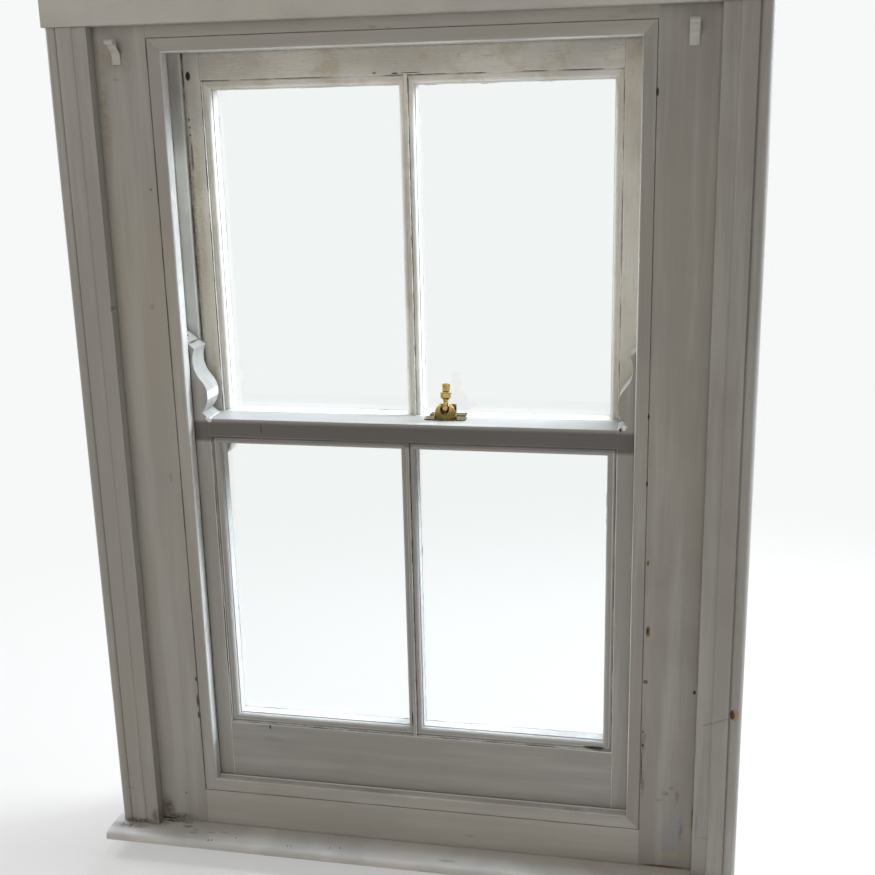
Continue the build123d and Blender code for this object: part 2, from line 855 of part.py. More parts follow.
def drop_horn_outline():
    """Right-hand small horn under the upper sash: a quarter-round toe."""
    inner = sash_half - stile_width + 3.5
    foot = upper_bottom - drop_horn_length
    toe = sash_half - drop_horn_toe
    mid_x = toe + (inner - toe) * sin(pi / 4)
    mid_z = foot + drop_horn_length * (1 - cos(pi / 4))
    return face_of(
        Line((inner, upper_bottom), (sash_half, upper_bottom)),
        Line((sash_half, upper_bottom), (sash_half, foot)),
        Line((sash_half, foot), (toe, foot)),
        ThreePointArc((toe, foot), (mid_x, mid_z), (inner, upper_bottom)),
    )


def meeting_bevel(lower):
    """Y of the meeting face at the top and bottom of the meeting rails."""
    outer = upper_face - (meeting_gap if lower else 0)
    inner = lower_face + sash_thickness + (0 if lower else meeting_gap)
    return outer, inner


def screw_pair(y, top, length=screw_length):
    """Two countersunk screws for a plate on a meeting rail."""
    screws = []
    for side in (-1, 1):
        x = fastener_x + side * screw_pitch / 2
        head = Pos(x, y, top - base_thickness / 2) * Cone(screw_radius, screw_head_radius, base_thickness)
        screws.append(head + rod_z(x, y, top - length, top - base_thickness, screw_radius))
    return screws


def screw_holes(y, top):
    """Clearance in plate and rail for those screws."""
    cuts = Part()
    for side in (-1, 1):
        x = fastener_x + side * screw_pitch / 2
        cuts += rod_z(x, y, top - screw_length - 1, top, screw_radius + fit_gap)
        cone_top = screw_head_radius + fit_gap
        cuts += Pos(x, y, top - base_thickness / 2) * Cone(screw_radius + fit_gap, cone_top, base_thickness)
    return cuts


def make_lower_sash():
    """Stiles with horns, bottom rail, meeting rail and bar of the inner sash."""
    low, high = lower_sight_bottom, lower_sight_top
    start = lower_bottom - sash_thickness * tan(radians(sill_slope))
    openings = rebate(lower_face, low, high)
    openings += other_side(openings)
    foot = under_weathering(foot_gap)
    bar_outline = through_sash(bar_region(low, high, True), lower_face)

    stile = stile_blank(lower_face, start, meeting_top)
    stile &= through_sash(stile_region(start, meeting_top, low, high, True, True), lower_face)
    stile += along_y(horn_outline(), lower_face, lower_face + sash_thickness)
    bottom_tenon = (lower_bottom + tenon_haunch, low - moulding_width)
    top_tenon = (high + moulding_width, meeting_top - tenon_haunch)
    stile -= tenon(lower_face, *bottom_tenon, gap=fit_gap)
    stile -= tenon(lower_face, *top_tenon, gap=fit_gap)
    stile -= cord_groove(lower_channel, horn_top - lower_knot_drop, horn_top)
    stile = stile - openings - foot

    bottom = rail_blank(lower_face, low, low - start, False)
    bottom &= through_sash(rail_region(low, low - start, False), lower_face)
    bottom = bottom + tenon(lower_face, *bottom_tenon) + other_side(tenon(lower_face, *bottom_tenon))
    bottom = bottom - bar_outline - openings - foot
    bar_foot = (low - moulding_width - bar_tenon_length, low - moulding_width)
    bottom -= bar_tenon(lower_face, *bar_foot, gap=fit_gap)

    meeting = rail_blank(lower_face, high, meeting_rail_width, True)
    meeting &= through_sash(rail_region(high, meeting_rail_width, True), lower_face)
    outer, inner = meeting_bevel(True)
    back = lower_face + sash_thickness
    lug_x = half_opening - parting_proud - side_gap
    lug = along_x(polygon((back, meeting_top), (outer, meeting_top), (inner, high)), -lug_x, lug_x)
    meeting += lug
    meeting = meeting + tenon(lower_face, *top_tenon) + other_side(tenon(lower_face, *top_tenon))
    bar_head = (high + moulding_width, high + moulding_width + bar_tenon_length)
    meeting = meeting - bar_outline - openings
    meeting -= bar_tenon(lower_face, *bar_head, gap=fit_gap)
    meeting -= screw_holes(fastener_y, meeting_top + base_thickness)

    plane = Plane((0, lower_face, low - moulding_width))
    bar = extrude(plane * bar_section(), amount=high - low + 2 * moulding_width) & bar_outline
    bar -= openings
    bar = bar + bar_tenon(lower_face, *bar_foot) + bar_tenon(lower_face, *bar_head)
    return stile, bottom, meeting, bar


def make_upper_sash():
    """Stiles with small drop horns, top rail, meeting rail and bar of the outer sash."""
    low, high = meeting_top, upper_sight_top
    openings = rebate(upper_face, low, high)
    openings += other_side(openings)
    bar_outline = through_sash(bar_region(low, high, False), upper_face)

    stile = stile_blank(upper_face, upper_bottom, upper_top)
    region = stile_region(upper_bottom, upper_top, low, high, False, True)
    stile &= through_sash(region, upper_face)
    stile += along_y(drop_horn_outline(), upper_face, upper_face + sash_thickness)
    top_tenon = (high + moulding_width, upper_top - tenon_haunch)
    low_tenon = (upper_bottom + tenon_haunch, low - rebate_width - fit_gap)
    stile -= tenon(upper_face, *top_tenon, gap=fit_gap)
    stile -= tenon(upper_face, *low_tenon, gap=fit_gap)
    stile -= cord_groove(upper_channel, upper_top - upper_knot_drop, upper_top)
    stile -= openings

    top = rail_blank(upper_face, high, top_rail_width, True)
    top &= through_sash(rail_region(high, top_rail_width, True), upper_face)
    top = top + tenon(upper_face, *top_tenon) + other_side(tenon(upper_face, *top_tenon))
    top = top - bar_outline - openings
    bar_head = (high + moulding_width, high + moulding_width + bar_tenon_length)
    top -= bar_tenon(upper_face, *bar_head, gap=fit_gap)

    outer, inner = meeting_bevel(False)
    back = upper_face + sash_thickness
    meeting = block(-shoulder_x, shoulder_x, upper_face, back, upper_bottom, meeting_top)
    lug_x = half_opening - parting_proud - side_gap
    wedge = polygon((upper_face, meeting_top), (upper_face, upper_bottom), (inner, upper_bottom))
    meeting += along_x(wedge, -lug_x, lug_x)
    meeting = meeting + tenon(upper_face, *low_tenon) + other_side(tenon(upper_face, *low_tenon))
    meeting = meeting - openings - screw_holes(keeper_y(), meeting_top + base_thickness)

    plane = Plane((0, upper_face, low))
    bar = extrude(plane * bar_section(), amount=high - low + moulding_width) & bar_outline
    bar -= openings
    bar += bar_tenon(upper_face, *bar_head)
    return stile, top, meeting, bar


def keeper_y():
    return upper_face + keeper_setback + keeper_width / 2


def make_fastener_base():
    """Plate with a slotted dome that holds the arm's eye between its cheeks."""
    base = meeting_top + base_thickness
    plate = block(
        fastener_x - base_length / 2, fastener_x + base_length / 2,
        fastener_y - base_width / 2, fastener_y + base_width / 2, meeting_top, base,
    )
    plate = fillet(plate.edges().filter_by(Axis.Z), radius=base_width / 4)
    hollow = ball_radius + ball_gap
    egg = scale(Sphere(1), by=(dome_width / 2, dome_depth / 2, dome_height))
    dome = Pos(fastener_x, fastener_y, base) * egg
    dome &= block(
        fastener_x - dome_width, fastener_x + dome_width, fastener_y - dome_depth, fastener_y + dome_depth,
        base, base + dome_height + 1,
    )
    slot = rod_y(fastener_x, fastener_y - dome_depth, fastener_y + dome_depth, pivot_z, hollow) + block(
        fastener_x - hollow, fastener_x + hollow, fastener_y - dome_depth, fastener_y + dome_depth,
        pivot_z, base + dome_height + 1,
    )
    pin_hole = rod_x(fastener_x - dome_width, fastener_x + dome_width, fastener_y, pivot_z, pivot_radius)
    return plate + (dome - slot) - pin_hole - screw_holes(fastener_y, base)


def make_pivot_pin():
    half = pivot_pin_length / 2
    return rod_x(fastener_x - half, fastener_x + half, fastener_y, pivot_z, pivot_radius)


def lean(shape):
    """Turn an upright piece of the arm about the pivot to where the arm was left."""
    return shape.rotate(Axis((fastener_x, fastener_y, pivot_z), (1, 0, 0)), -arm_lean)


def make_fastener_arm():
    """Ball on the pivot, plain stem and threaded end."""
    ball = Pos(fastener_x, fastener_y, pivot_z) * Sphere(ball_radius)
    stem = rod_z(fastener_x, fastener_y, pivot_z, pivot_z + stem_length, stem_radius)
    thread = rod_z(fastener_x, fastener_y, pivot_z, pivot_z + thread_length, thread_radius)
    reach_x = ball_radius + 1
    bore = rod_x(fastener_x - reach_x, fastener_x + reach_x, fastener_y, pivot_z, pivot_radius + pin_gap)
    return lean(ball + stem + thread - bore)


def make_fastener_nut():
    """Turned thumb nut: a nose, a cone, a rimmed body, a neck and a knob, bored from below."""
    z0 = pivot_z + nut_start
    cone = z0 + nut_nose_length + nut_cone_length
    rim = z0 + nut_rim_start
    neck = rim + nut_rim_length
    knob = neck + nut_neck_length
    top = z0 + nut_length
    bore = thread_radius + nut_bore_gap
    waist = nut_knob_radius - nut_knob_flare
    edge = 1.2
    outline = face_of(
        Line((bore, z0), (nut_nose_radius, z0)),
        Line((nut_nose_radius, z0), (nut_nose_radius, z0 + nut_nose_length)),
        ThreePointArc(
            (nut_nose_radius, z0 + nut_nose_length),
            ((nut_nose_radius + nut_body_radius) / 2 + 0.6, (z0 + nut_nose_length + cone) / 2 - 0.4),
            (nut_body_radius, cone),
        ),
        Line((nut_body_radius, cone), (nut_body_radius, rim)),
        Line((nut_body_radius, rim), (nut_rim_radius, rim)),
        Line((nut_rim_radius, rim), (nut_rim_radius, neck)),
        Line((nut_rim_radius, neck), (nut_neck_radius, neck)),
        Line((nut_neck_radius, neck), (nut_neck_radius, knob)),
        Line((nut_neck_radius, knob), (waist, knob)),
        Line((waist, knob), (nut_knob_radius, top - edge)),
        ThreePointArc(
            (nut_knob_radius, top - edge), (nut_knob_radius - edge * 0.3, top - edge * 0.3),
            (nut_knob_radius - edge, top),
        ),
        Line((nut_knob_radius - edge, top), (0, top)),
        Line((0, top), (0, top - nut_end_wall)),
        Line((0, top - nut_end_wall), (bore, top - nut_end_wall)),
        Line((bore, top - nut_end_wall), (bore, z0)),
    )
    upright = Plane((fastener_x, fastener_y, 0), x_dir=(1, 0, 0), z_dir=(0, -1, 0)) * outline
    return lean(revolve(upright, axis=Axis((fastener_x, fastener_y, 0), (0, 0, 1))))


def make_keeper():
    """Plate with an upright slotted lug that takes the arm's stem from above."""
    base = meeting_top + base_thickness
    y0 = upper_face + keeper_setback
    plate = block(
        fastener_x - keeper_length / 2, fastener_x + keeper_length / 2, y0, y0 + keeper_width,
        meeting_top, base,
    )
    plate = fillet(plate.edges().filter_by(Axis.Z), radius=2.0)
    lug_top = pivot_z + keeper_lug_over_pivot
    lug = block(
        fastener_x - keeper_lug_width / 2, fastener_x + keeper_lug_width / 2,
        y0, y0 + keeper_lug_thickness, meeting_top, lug_top,
    )
    slot = block(
        fastener_x - keeper_slot / 2, fastener_x + keeper_slot / 2, y0 - 1, y0 + keeper_lug_thickness + 1,
        pivot_z - keeper_slot / 2 - fit_gap, lug_top + reach,
    )
    return plate + lug - slot - screw_holes(keeper_y(), base)


def case_half_width():
    return wheel_thickness / 2 + wheel_side_gap + cheek_thickness


def make_pulley_case(y):
    """Right-hand pulley case: slotted faceplate and two cheeks that carry the axle."""
    plate = block(
        half_opening, half_opening + faceplate_thickness, y - faceplate_width / 2, y + faceplate_width / 2,
        pulley_z - faceplate_height / 2, pulley_z + faceplate_height / 2,
    )
    gap = wheel_thickness / 2 + wheel_side_gap
    slot = block(
        half_opening - 1, half_opening + faceplate_thickness + 1, y - gap, y + gap,
        pulley_z - cheek_height / 2 + cheek_thickness, pulley_z + cheek_height / 2 - cheek_thickness,
    )
    case = plate - slot
    x0 = half_opening + faceplate_thickness
    for side in (-1, 1):
        y0 = y + side * gap
        case += block(
            x0, x0 + cheek_depth, y0, y0 + side * cheek_thickness,
            pulley_z - cheek_height / 2, pulley_z + cheek_height / 2,
        )
    bore = rod_y(wheel_x, y - gap - reach, y + gap + reach, pulley_z, axle_radius)
    return case - bore


def make_pulley_axle(y):
    half = case_half_width()
    return rod_y(wheel_x, y - half, y + half, pulley_z, axle_radius)


def make_pulley_wheel(y):
    """Grooved wheel, bored to run on its axle."""
    groove = cord_radius + cord_bore_gap
    half = wheel_thickness / 2
    section = face_of(
        Line((wheel_bore_radius, -half), (wheel_radius, -half)),
        Line((wheel_radius, -half), (wheel_radius, -groove)),
        Line((wheel_radius, -groove), (cord_radius_on_wheel, -groove)),
        ThreePointArc(
            (cord_radius_on_wheel, -groove), (cord_radius_on_wheel - groove, 0),
            (cord_radius_on_wheel, groove),
        ),
        Line((cord_radius_on_wheel, groove), (wheel_radius, groove)),
        Line((wheel_radius, groove), (wheel_radius, half)),
        Line((wheel_radius, half), (wheel_bore_radius, half)),
        Line((wheel_bore_radius, half), (wheel_bore_radius, -half)),
    )
    profile = Plane((wheel_x, y, pulley_z), x_dir=(1, 0, 0), z_dir=(0, 0, 1)) * section
    return revolve(profile, axis=Axis((wheel_x, y, pulley_z), (0, 1, 0)))


def weight_top(lower):
    """Top of a weight with both sashes shut."""
    highest = pulley_z - weight_hang
    return highest if lower else highest - upper_travel


def make_weight(y, lower):
    """Cast weight with a domed end, bored for the cord and opened for its knot."""
    length = lower_weight_length if lower else upper_weight_length
    top = weight_top(lower)
    section = face_of(
        Line((0, top - length), (weight_radius, top - length)),
        Line((weight_radius, top - length), (weight_radius, top - weight_dome)),
        ThreePointArc(
            (weight_radius, top - weight_dome),
            (weight_radius * 0.78, top - weight_dome * 0.25), (weight_radius * 0.4, top),
        ),
        Line((weight_radius * 0.4, top), (0, top)),
        Line((0, top), (0, top - length)),
    )
    upright = Plane((weight_x, y, 0), x_dir=(1, 0, 0), z_dir=(0, -1, 0)) * section
    body = revolve(upright, axis=Axis((weight_x, y, 0), (0, 0, 1)))
    bore = rod_z(weight_x, y, top - weight_bore_depth, top + 1, cord_radius + cord_bore_gap)
    window = rod_y(weight_x, y - weight_radius - 1, y, top - weight_bore_depth, cord_radius * 2)
    return body - bore - window


def make_cord(y, knot_z, lower):
    """Right-hand cord: out of the sash, up the groove, over the wheel, down to the weight."""
    floor = sash_half - cord_groove_depth
    bend_x = cord_x - cord_bend_radius
    bend_z = knot_z + cord_bend_radius
    disc = Circle(cord_radius)
    cord = rod_x(floor - cord_knot_depth + 1, bend_x, y, knot_z, cord_radius)
    quarter_plane = Plane((bend_x, y, knot_z), x_dir=(0, 1, 0), z_dir=(1, 0, 0))
    cord += revolve(
        quarter_plane * disc, axis=Axis((bend_x, y, bend_z), (0, -1, 0)), revolution_arc=90
    )
    cord += rod_z(cord_x, y, bend_z, pulley_z, cord_radius)
    half_plane = Plane((cord_x, y, pulley_z))
    cord += revolve(
        half_plane * disc, axis=Axis((wheel_x, y, pulley_z), (0, 1, 0)), revolution_arc=180
    )
    cord += rod_z(weight_x, y, weight_top(lower) - cord_in_weight, pulley_z, cord_radius)
    return cord


def save(name, *solids):
    """Write one named sub-part; several like pieces share a file as separate solids."""
    pieces = []
    for solid in solids:
        pieces += solid if isinstance(solid, list) else [solid]
    shape = pieces[0] if len(pieces) == 1 else Compound(children=[Compound(p.wrapped) for p in pieces])
    export_step(shape, f"parts/{name}.step")
    return shape


def save_pair(name, right):
    """Write a left and a right piece as two nodes."""
    save(f"{name}_left", other_side(right))
    save(f"{name}_right", right)


def both(right):
    """A left and a right piece for one shared node."""
    pieces = right if isinstance(right, list) else [right]
    return [other_side(p) for p in pieces] + pieces


def save_frame():
    save("sill", make_sill())
    save_pair("pulley_stile", make_pulley_stile())
    save("head", make_head())
    save_pair("inner_lining", make_inner_lining())
    save("inner_lining_head", make_head_lining(True))
    save_pair("outer_lining", make_outer_lining())
    save("outer_lining_head", make_head_lining(False))
    save("back_linings", both(make_back_lining()))
    save("parting_beads", make_parting_beads())
    left, right, sill, head = make_staff_beads()
    save("staff_bead_left", left)
    save("staff_bead_right", right)
    save("staff_bead_sill", sill)
    save("staff_bead_head", head)
    save("pocket_pieces", both(make_pocket_piece()))
    save("wagtails", both(make_wagtail()))
    save_pair("architrave", make_architrave())
    save("head_board", make_head_board())
    save("window_board", make_window_board())
    save("bed_mould", make_bed_mould())
    save("curtain_straps", both(make_strap()))


def save_balance():
    """Pulleys, axles, cords and weights: one set for each edge of each sash."""
    cases, axles = [], []
    for name, y, lower, knot_z in (
        ("lower", lower_channel, True, horn_top - lower_knot_drop),
        ("upper", upper_channel, False, upper_top - upper_knot_drop),
    ):
        cases += both(make_pulley_case(y))
        axles += both(make_pulley_axle(y))
        save_pair(f"pulley_wheel_{name}", make_pulley_wheel(y))
        save_pair(f"weight_{name}", make_weight(y, lower))
        save_pair(f"cord_{name}", make_cord(y, knot_z, lower))
    save("pulley_cases", cases)
    save("pulley_axles", axles)


def save_sashes():
    stile, bottom, meeting, bar = make_lower_sash()
    save_pair("lower_stile", stile)
    save("lower_bottom_rail", bottom)
    save("lower_meeting_rail", meeting)
    save("lower_glazing_bar", bar)
    save("lower_panes", both(make_pane(lower_face, lower_sight_bottom, lower_sight_top)))
    save("lower_putty", both(make_putty(lower_face, lower_sight_bottom, lower_sight_top)))
    stile, top, meeting, bar = make_upper_sash()
    save_pair("upper_stile", stile)
    save("upper_top_rail", top)
    save("upper_meeting_rail", meeting)
    save("upper_glazing_bar", bar)
    save("upper_panes", both(make_pane(upper_face, meeting_top, upper_sight_top)))
    save("upper_putty", both(make_putty(upper_face, meeting_top, upper_sight_top)))


def save_fastener():
    save("fastener_base", make_fastener_base())
    save("fastener_pivot", make_pivot_pin())
    save("fastener_arm", make_fastener_arm())
    save("fastener_nut", make_fastener_nut())
    save("fastener_screws", screw_pair(fastener_y, meeting_top + base_thickness))
    save("keeper", make_keeper())
    save("keeper_screws", screw_pair(keeper_y(), meeting_top + base_thickness))


save_frame()
save_balance()
save_sashes()
save_fastener()

turns = degrees(lower_travel / cord_radius_on_wheel)
print("lower sash travel", round(lower_travel, 2), "upper", upper_travel, "wheel turn", round(turns, 1))
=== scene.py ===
# A painted timber sash window: its finishes, cords, brass work, light and camera.
# Metres throughout, in the part's own frame: X right as seen from the room, Y outwards, Z up.
from functools import partial
from math import cos, pi, radians, sin

import bmesh
import bpy
import numpy as np
from mathutils import Matrix, Vector


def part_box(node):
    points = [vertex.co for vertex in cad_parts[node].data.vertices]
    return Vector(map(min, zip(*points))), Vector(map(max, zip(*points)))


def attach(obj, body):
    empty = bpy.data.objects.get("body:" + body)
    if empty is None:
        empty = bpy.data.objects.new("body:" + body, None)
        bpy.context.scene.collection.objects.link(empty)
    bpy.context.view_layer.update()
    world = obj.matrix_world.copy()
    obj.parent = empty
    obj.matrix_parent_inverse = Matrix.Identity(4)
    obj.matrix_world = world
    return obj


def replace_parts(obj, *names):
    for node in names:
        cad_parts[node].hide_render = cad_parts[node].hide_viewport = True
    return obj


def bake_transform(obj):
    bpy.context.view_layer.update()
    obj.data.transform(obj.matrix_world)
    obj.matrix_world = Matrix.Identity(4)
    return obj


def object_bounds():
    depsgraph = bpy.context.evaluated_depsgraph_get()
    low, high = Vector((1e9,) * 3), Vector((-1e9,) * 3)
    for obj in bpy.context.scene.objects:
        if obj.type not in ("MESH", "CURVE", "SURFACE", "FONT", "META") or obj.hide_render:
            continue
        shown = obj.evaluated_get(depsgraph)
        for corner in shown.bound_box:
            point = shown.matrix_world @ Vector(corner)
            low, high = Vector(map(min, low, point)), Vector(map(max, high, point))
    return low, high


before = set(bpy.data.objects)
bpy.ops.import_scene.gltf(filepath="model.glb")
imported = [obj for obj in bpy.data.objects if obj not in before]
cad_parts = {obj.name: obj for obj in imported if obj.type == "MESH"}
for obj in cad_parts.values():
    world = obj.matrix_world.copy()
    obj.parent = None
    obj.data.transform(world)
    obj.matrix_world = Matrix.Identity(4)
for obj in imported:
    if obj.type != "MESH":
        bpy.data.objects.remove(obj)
cad_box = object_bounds()

MM = 0.001
X_AXIS, Y_AXIS, Z_AXIS = 0, 1, 2
SIDES = {"left": -1, "right": 1}

# Planes and lines of the window, read from its pieces
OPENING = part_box("pulley_stile_right")[0].x
SILL_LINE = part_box("staff_bead_sill")[0].z
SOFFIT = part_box("staff_bead_head")[1].z
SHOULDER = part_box("upper_top_rail")[1].x - 28 * MM
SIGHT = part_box("upper_stile_right")[0].x
BAR_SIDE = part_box("upper_glazing_bar")[1].x
BEAD_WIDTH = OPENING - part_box("staff_bead_right")[0].x
MEETING_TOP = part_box("upper_meeting_rail")[1].z

# Cords
CORD_RADIUS = 3.0 * MM
CORD_SIDES = 24
CORD_STEP = 1.1 * MM
BRAID_PITCH = 22 * MM
BRAID_STRANDS = 4
BRAID_DEPTH = 0.13
CORD_BEND = 5.0 * MM
KNOT_REACH = 17.0 * MM      # from the sash's edge to the end of the cord's hole
CORD_IN_WEIGHT = 20.0 * MM
KNOT_DROP = {"lower": 220 * MM, "upper": 200 * MM}   # below the top of the sash's stile

# Fastener
PIVOT = Vector((52.0, -12.0, 746.5)) * MM
ARM_LEAN = radians(16)
NUT_START = 12.0 * MM
KEEPER_Y = 14.2 * MM
PLATE_TOP = MEETING_TOP + 2.2 * MM
SCREW_PITCH = 50.0 * MM

# Camera, where the photograph was taken
CAMERA_PLACE = (0.3927, -1.7140, 1.1659)
CAMERA_YAW = 0.20494
CAMERA_PITCH = -0.26110
CAMERA_ROLL = -0.02263
FOCAL_PIXELS = 1188.5
PICTURE_PIXELS = 875
SENSOR = 36.0

# Straps
STRAP_X = 401.0 * MM
STRAP_HALF = (6.8 * MM, 1.25 * MM)
STRAP_STEP = 0.5 * MM

# Screws, in millimetres and shares of the head's radius
HEAD_RADIUS, HEAD_DOME = 3.95, 0.45
SLOT_DEPTH, SLOT_HALF = 0.9, 0.13

# Paint
SMUDGE_RAG = 3.0            # millimetres, from which a mark counts as a smudge
CORNER_SHADE_AND_DIRT_REACH = 9 * MM         # how far out of a corner the painted shade and dirt reach
SOFT_EDGE = 0.9 * MM        # how far coats of paint have rounded an arris
STRAY_LEAST, STRAY_MOST = 0.2, 1.4          # width of the paint on the glass, in millimetres

# Surroundings
PALE = "#F7F8F8"
SKY_LIGHT = 0.22
FLOOR_SPAN = 30.0
FLOOR_KEPT = 0.6            # nearer than this to the middle the floor shows as it is lit
FLOOR_FADED = 2.2           # beyond this it is as pale as the surroundings


def linear(code):
    """An sRGB hex colour as linear red, green, blue and alpha."""
    parts = [int(code[i:i + 2], 16) / 255 for i in (1, 3, 5)]
    return [c / 12.92 if c <= 0.04045 else ((c + 0.055) / 1.055) ** 2.4 for c in parts] + [1.0]


def add(tree, kind, out=0, inputs=(), **settings):
    """Adds one node with its settings, sets or links its inputs, and returns the output asked for."""
    node = tree.nodes.new(kind)
    for key, value in settings.items():
        setattr(node, key, value)
    for key, value in dict(inputs).items():
        socket = node.inputs[key]
        if isinstance(value, bpy.types.NodeSocket):
            tree.links.new(value, socket)
        else:
            socket.default_value = value
    return node.outputs[out]


def start_material(name):
    """A new material with an empty tree, its node-adding function and its Object coordinates."""
    material = bpy.data.materials.new(name)
    material.use_nodes = True
    material.node_tree.nodes.clear()
    put = partial(add, material.node_tree)
    return material, put, put("ShaderNodeTexCoord", "Object")


def blend_colours(put, share, first, second):
    """First colour where share is 0, second where it is 1."""
    return put("ShaderNodeMix", 2, {0: share, 6: first, 7: second}, data_type="RGBA")


def fade(put, value, low, high, first=0.0, second=1.0):
    """A value from low to high becomes a soft step from first to second."""
    limits = {0: value, 1: low, 2: high, 3: first, 4: second}
    return put("ShaderNodeMapRange", 0, limits, interpolation_type="SMOOTHSTEP")


def spread(put, place, size, detail=3.0, roughness=0.55, shift=0.0):
    """Even noise whose patches are about size metres across."""
    moved = put("ShaderNodeMapping", 0, {"Vector": place, "Location": (shift, shift * 0.7, shift * 1.3)})
    return put("ShaderNodeTexNoise", 0, {
        "Vector": moved, "Scale": 1 / size, "Detail": detail, "Roughness": roughness,
    })


def strokes(put, place, along, width, length, shift=0.0):
    """Noise drawn out along one axis, as brush marks, grain or a casting's seam is."""
    stretch = [1 / width] * 3
    stretch[along] = 1 / length
    moved = put("ShaderNodeMapping", 0, {"Vector": place, "Scale": stretch, "Location": (shift,) * 3})
    return put("ShaderNodeTexNoise", 0, {"Vector": moved, "Scale": 1.0, "Detail": 4.0, "Roughness": 0.6})


def warped(put, place, amount, size):
    """The same place pushed about by noise, so that a straight edge comes out ragged."""
    push = put("ShaderNodeTexNoise", 1, {"Vector": place, "Scale": 1 / size, "Detail": 3.0})
    centred = put("ShaderNodeVectorMath", 0, {0: push, 1: (0.5, 0.5, 0.5)}, operation="SUBTRACT")
    scaled = put("ShaderNodeVectorMath", 0, {0: centred, "Scale": amount}, operation="SCALE")
    return put("ShaderNodeVectorMath", 0, {0: place, 1: scaled}, operation="ADD")


def most(put, shares):
    """The largest of several shares, point by point."""
    result = shares[0]
    for share in shares[1:]:
        result = put("ShaderNodeMath", 0, {0: result, 1: share}, operation="MAXIMUM")
    return result


def off_zero(put, ragged, axis, middle, position):
    """How far a place lies beyond a position, on either side of a middle, along one axis."""
    along = put("ShaderNodeSeparateXYZ", axis, {0: ragged})
    centred = put("ShaderNodeMath", 0, {0: along, 1: middle}, operation="SUBTRACT")
    size = put("ShaderNodeMath", 0, {0: centred}, operation="ABSOLUTE")
    return put("ShaderNodeMath", 0, {0: size, 1: position}, operation="SUBTRACT")


def crack(put, beyond, half):
    """A line of a half width where a distance is zero."""
    width = put("ShaderNodeMath", 0, {0: beyond}, operation="ABSOLUTE")
    return fade(put, width, half * 1.35, half * 0.45)


def seams(put, place, lines, rag=1.2 * MM):
    """Ragged lines along the joints and arrises: each is an axis, a distance from zero and a half width."""
    ragged = warped(put, place, rag, 9 * MM)
    return most(put, [crack(put, off_zero(put, ragged, axis, 0.0, at), half) for axis, at, half in lines])


def bead_line(put, place, inset, half, rag):
    """A line round the staff beads, at a distance inside their outer edge: the outline of a rectangle."""
    ragged = warped(put, place, rag, 12 * MM)
    middle, reach = (SILL_LINE + SOFFIT) / 2, (SOFFIT - SILL_LINE) / 2
    across = off_zero(put, ragged, X_AXIS, 0.0, OPENING - inset)
    along = off_zero(put, ragged, Z_AXIS, middle, reach - inset)
    return crack(put, most(put, [across, along]), half)


def times(put, first, second):
    """Two shares multiplied."""
    return put("ShaderNodeMath", 0, {0: first, 1: second}, operation="MULTIPLY")


def spots(put, place, marks, rag):
    """Ragged marks: each is a centre and three half sizes, in millimetres.
    Those with a wide ragged edge are smudges, soft and uneven."""
    ragged = warped(put, place, rag * MM, 2.2 * rag * MM)
    inner, outer = (0.70, 1.15) if rag < SMUDGE_RAG else (0.05, 1.40)
    shares = []
    for centre, half in marks:
        scale = [1 / (h * MM) for h in half]
        shift = [-c / h for c, h in zip(centre, half)]
        local = put("ShaderNodeMapping", 0, {"Vector": ragged, "Location": shift, "Scale": scale})
        away = put("ShaderNodeVectorMath", 1, {0: local}, operation="LENGTH")
        shares.append(fade(put, away, outer, inner))
    if rag < SMUDGE_RAG:
        return most(put, shares)
    share = most(put, shares)
    uneven = spread(put, place, 5 * MM, 3.0, 0.65)
    return times(put, share, fade(put, uneven, 0.32, 0.62, 0.35, 1.0))


def close(material, shader):
    """Joins the shader to the material's output."""
    output = material.node_tree.nodes.new("ShaderNodeOutputMaterial")
    material.node_tree.links.new(shader, output.inputs["Surface"])
    return material
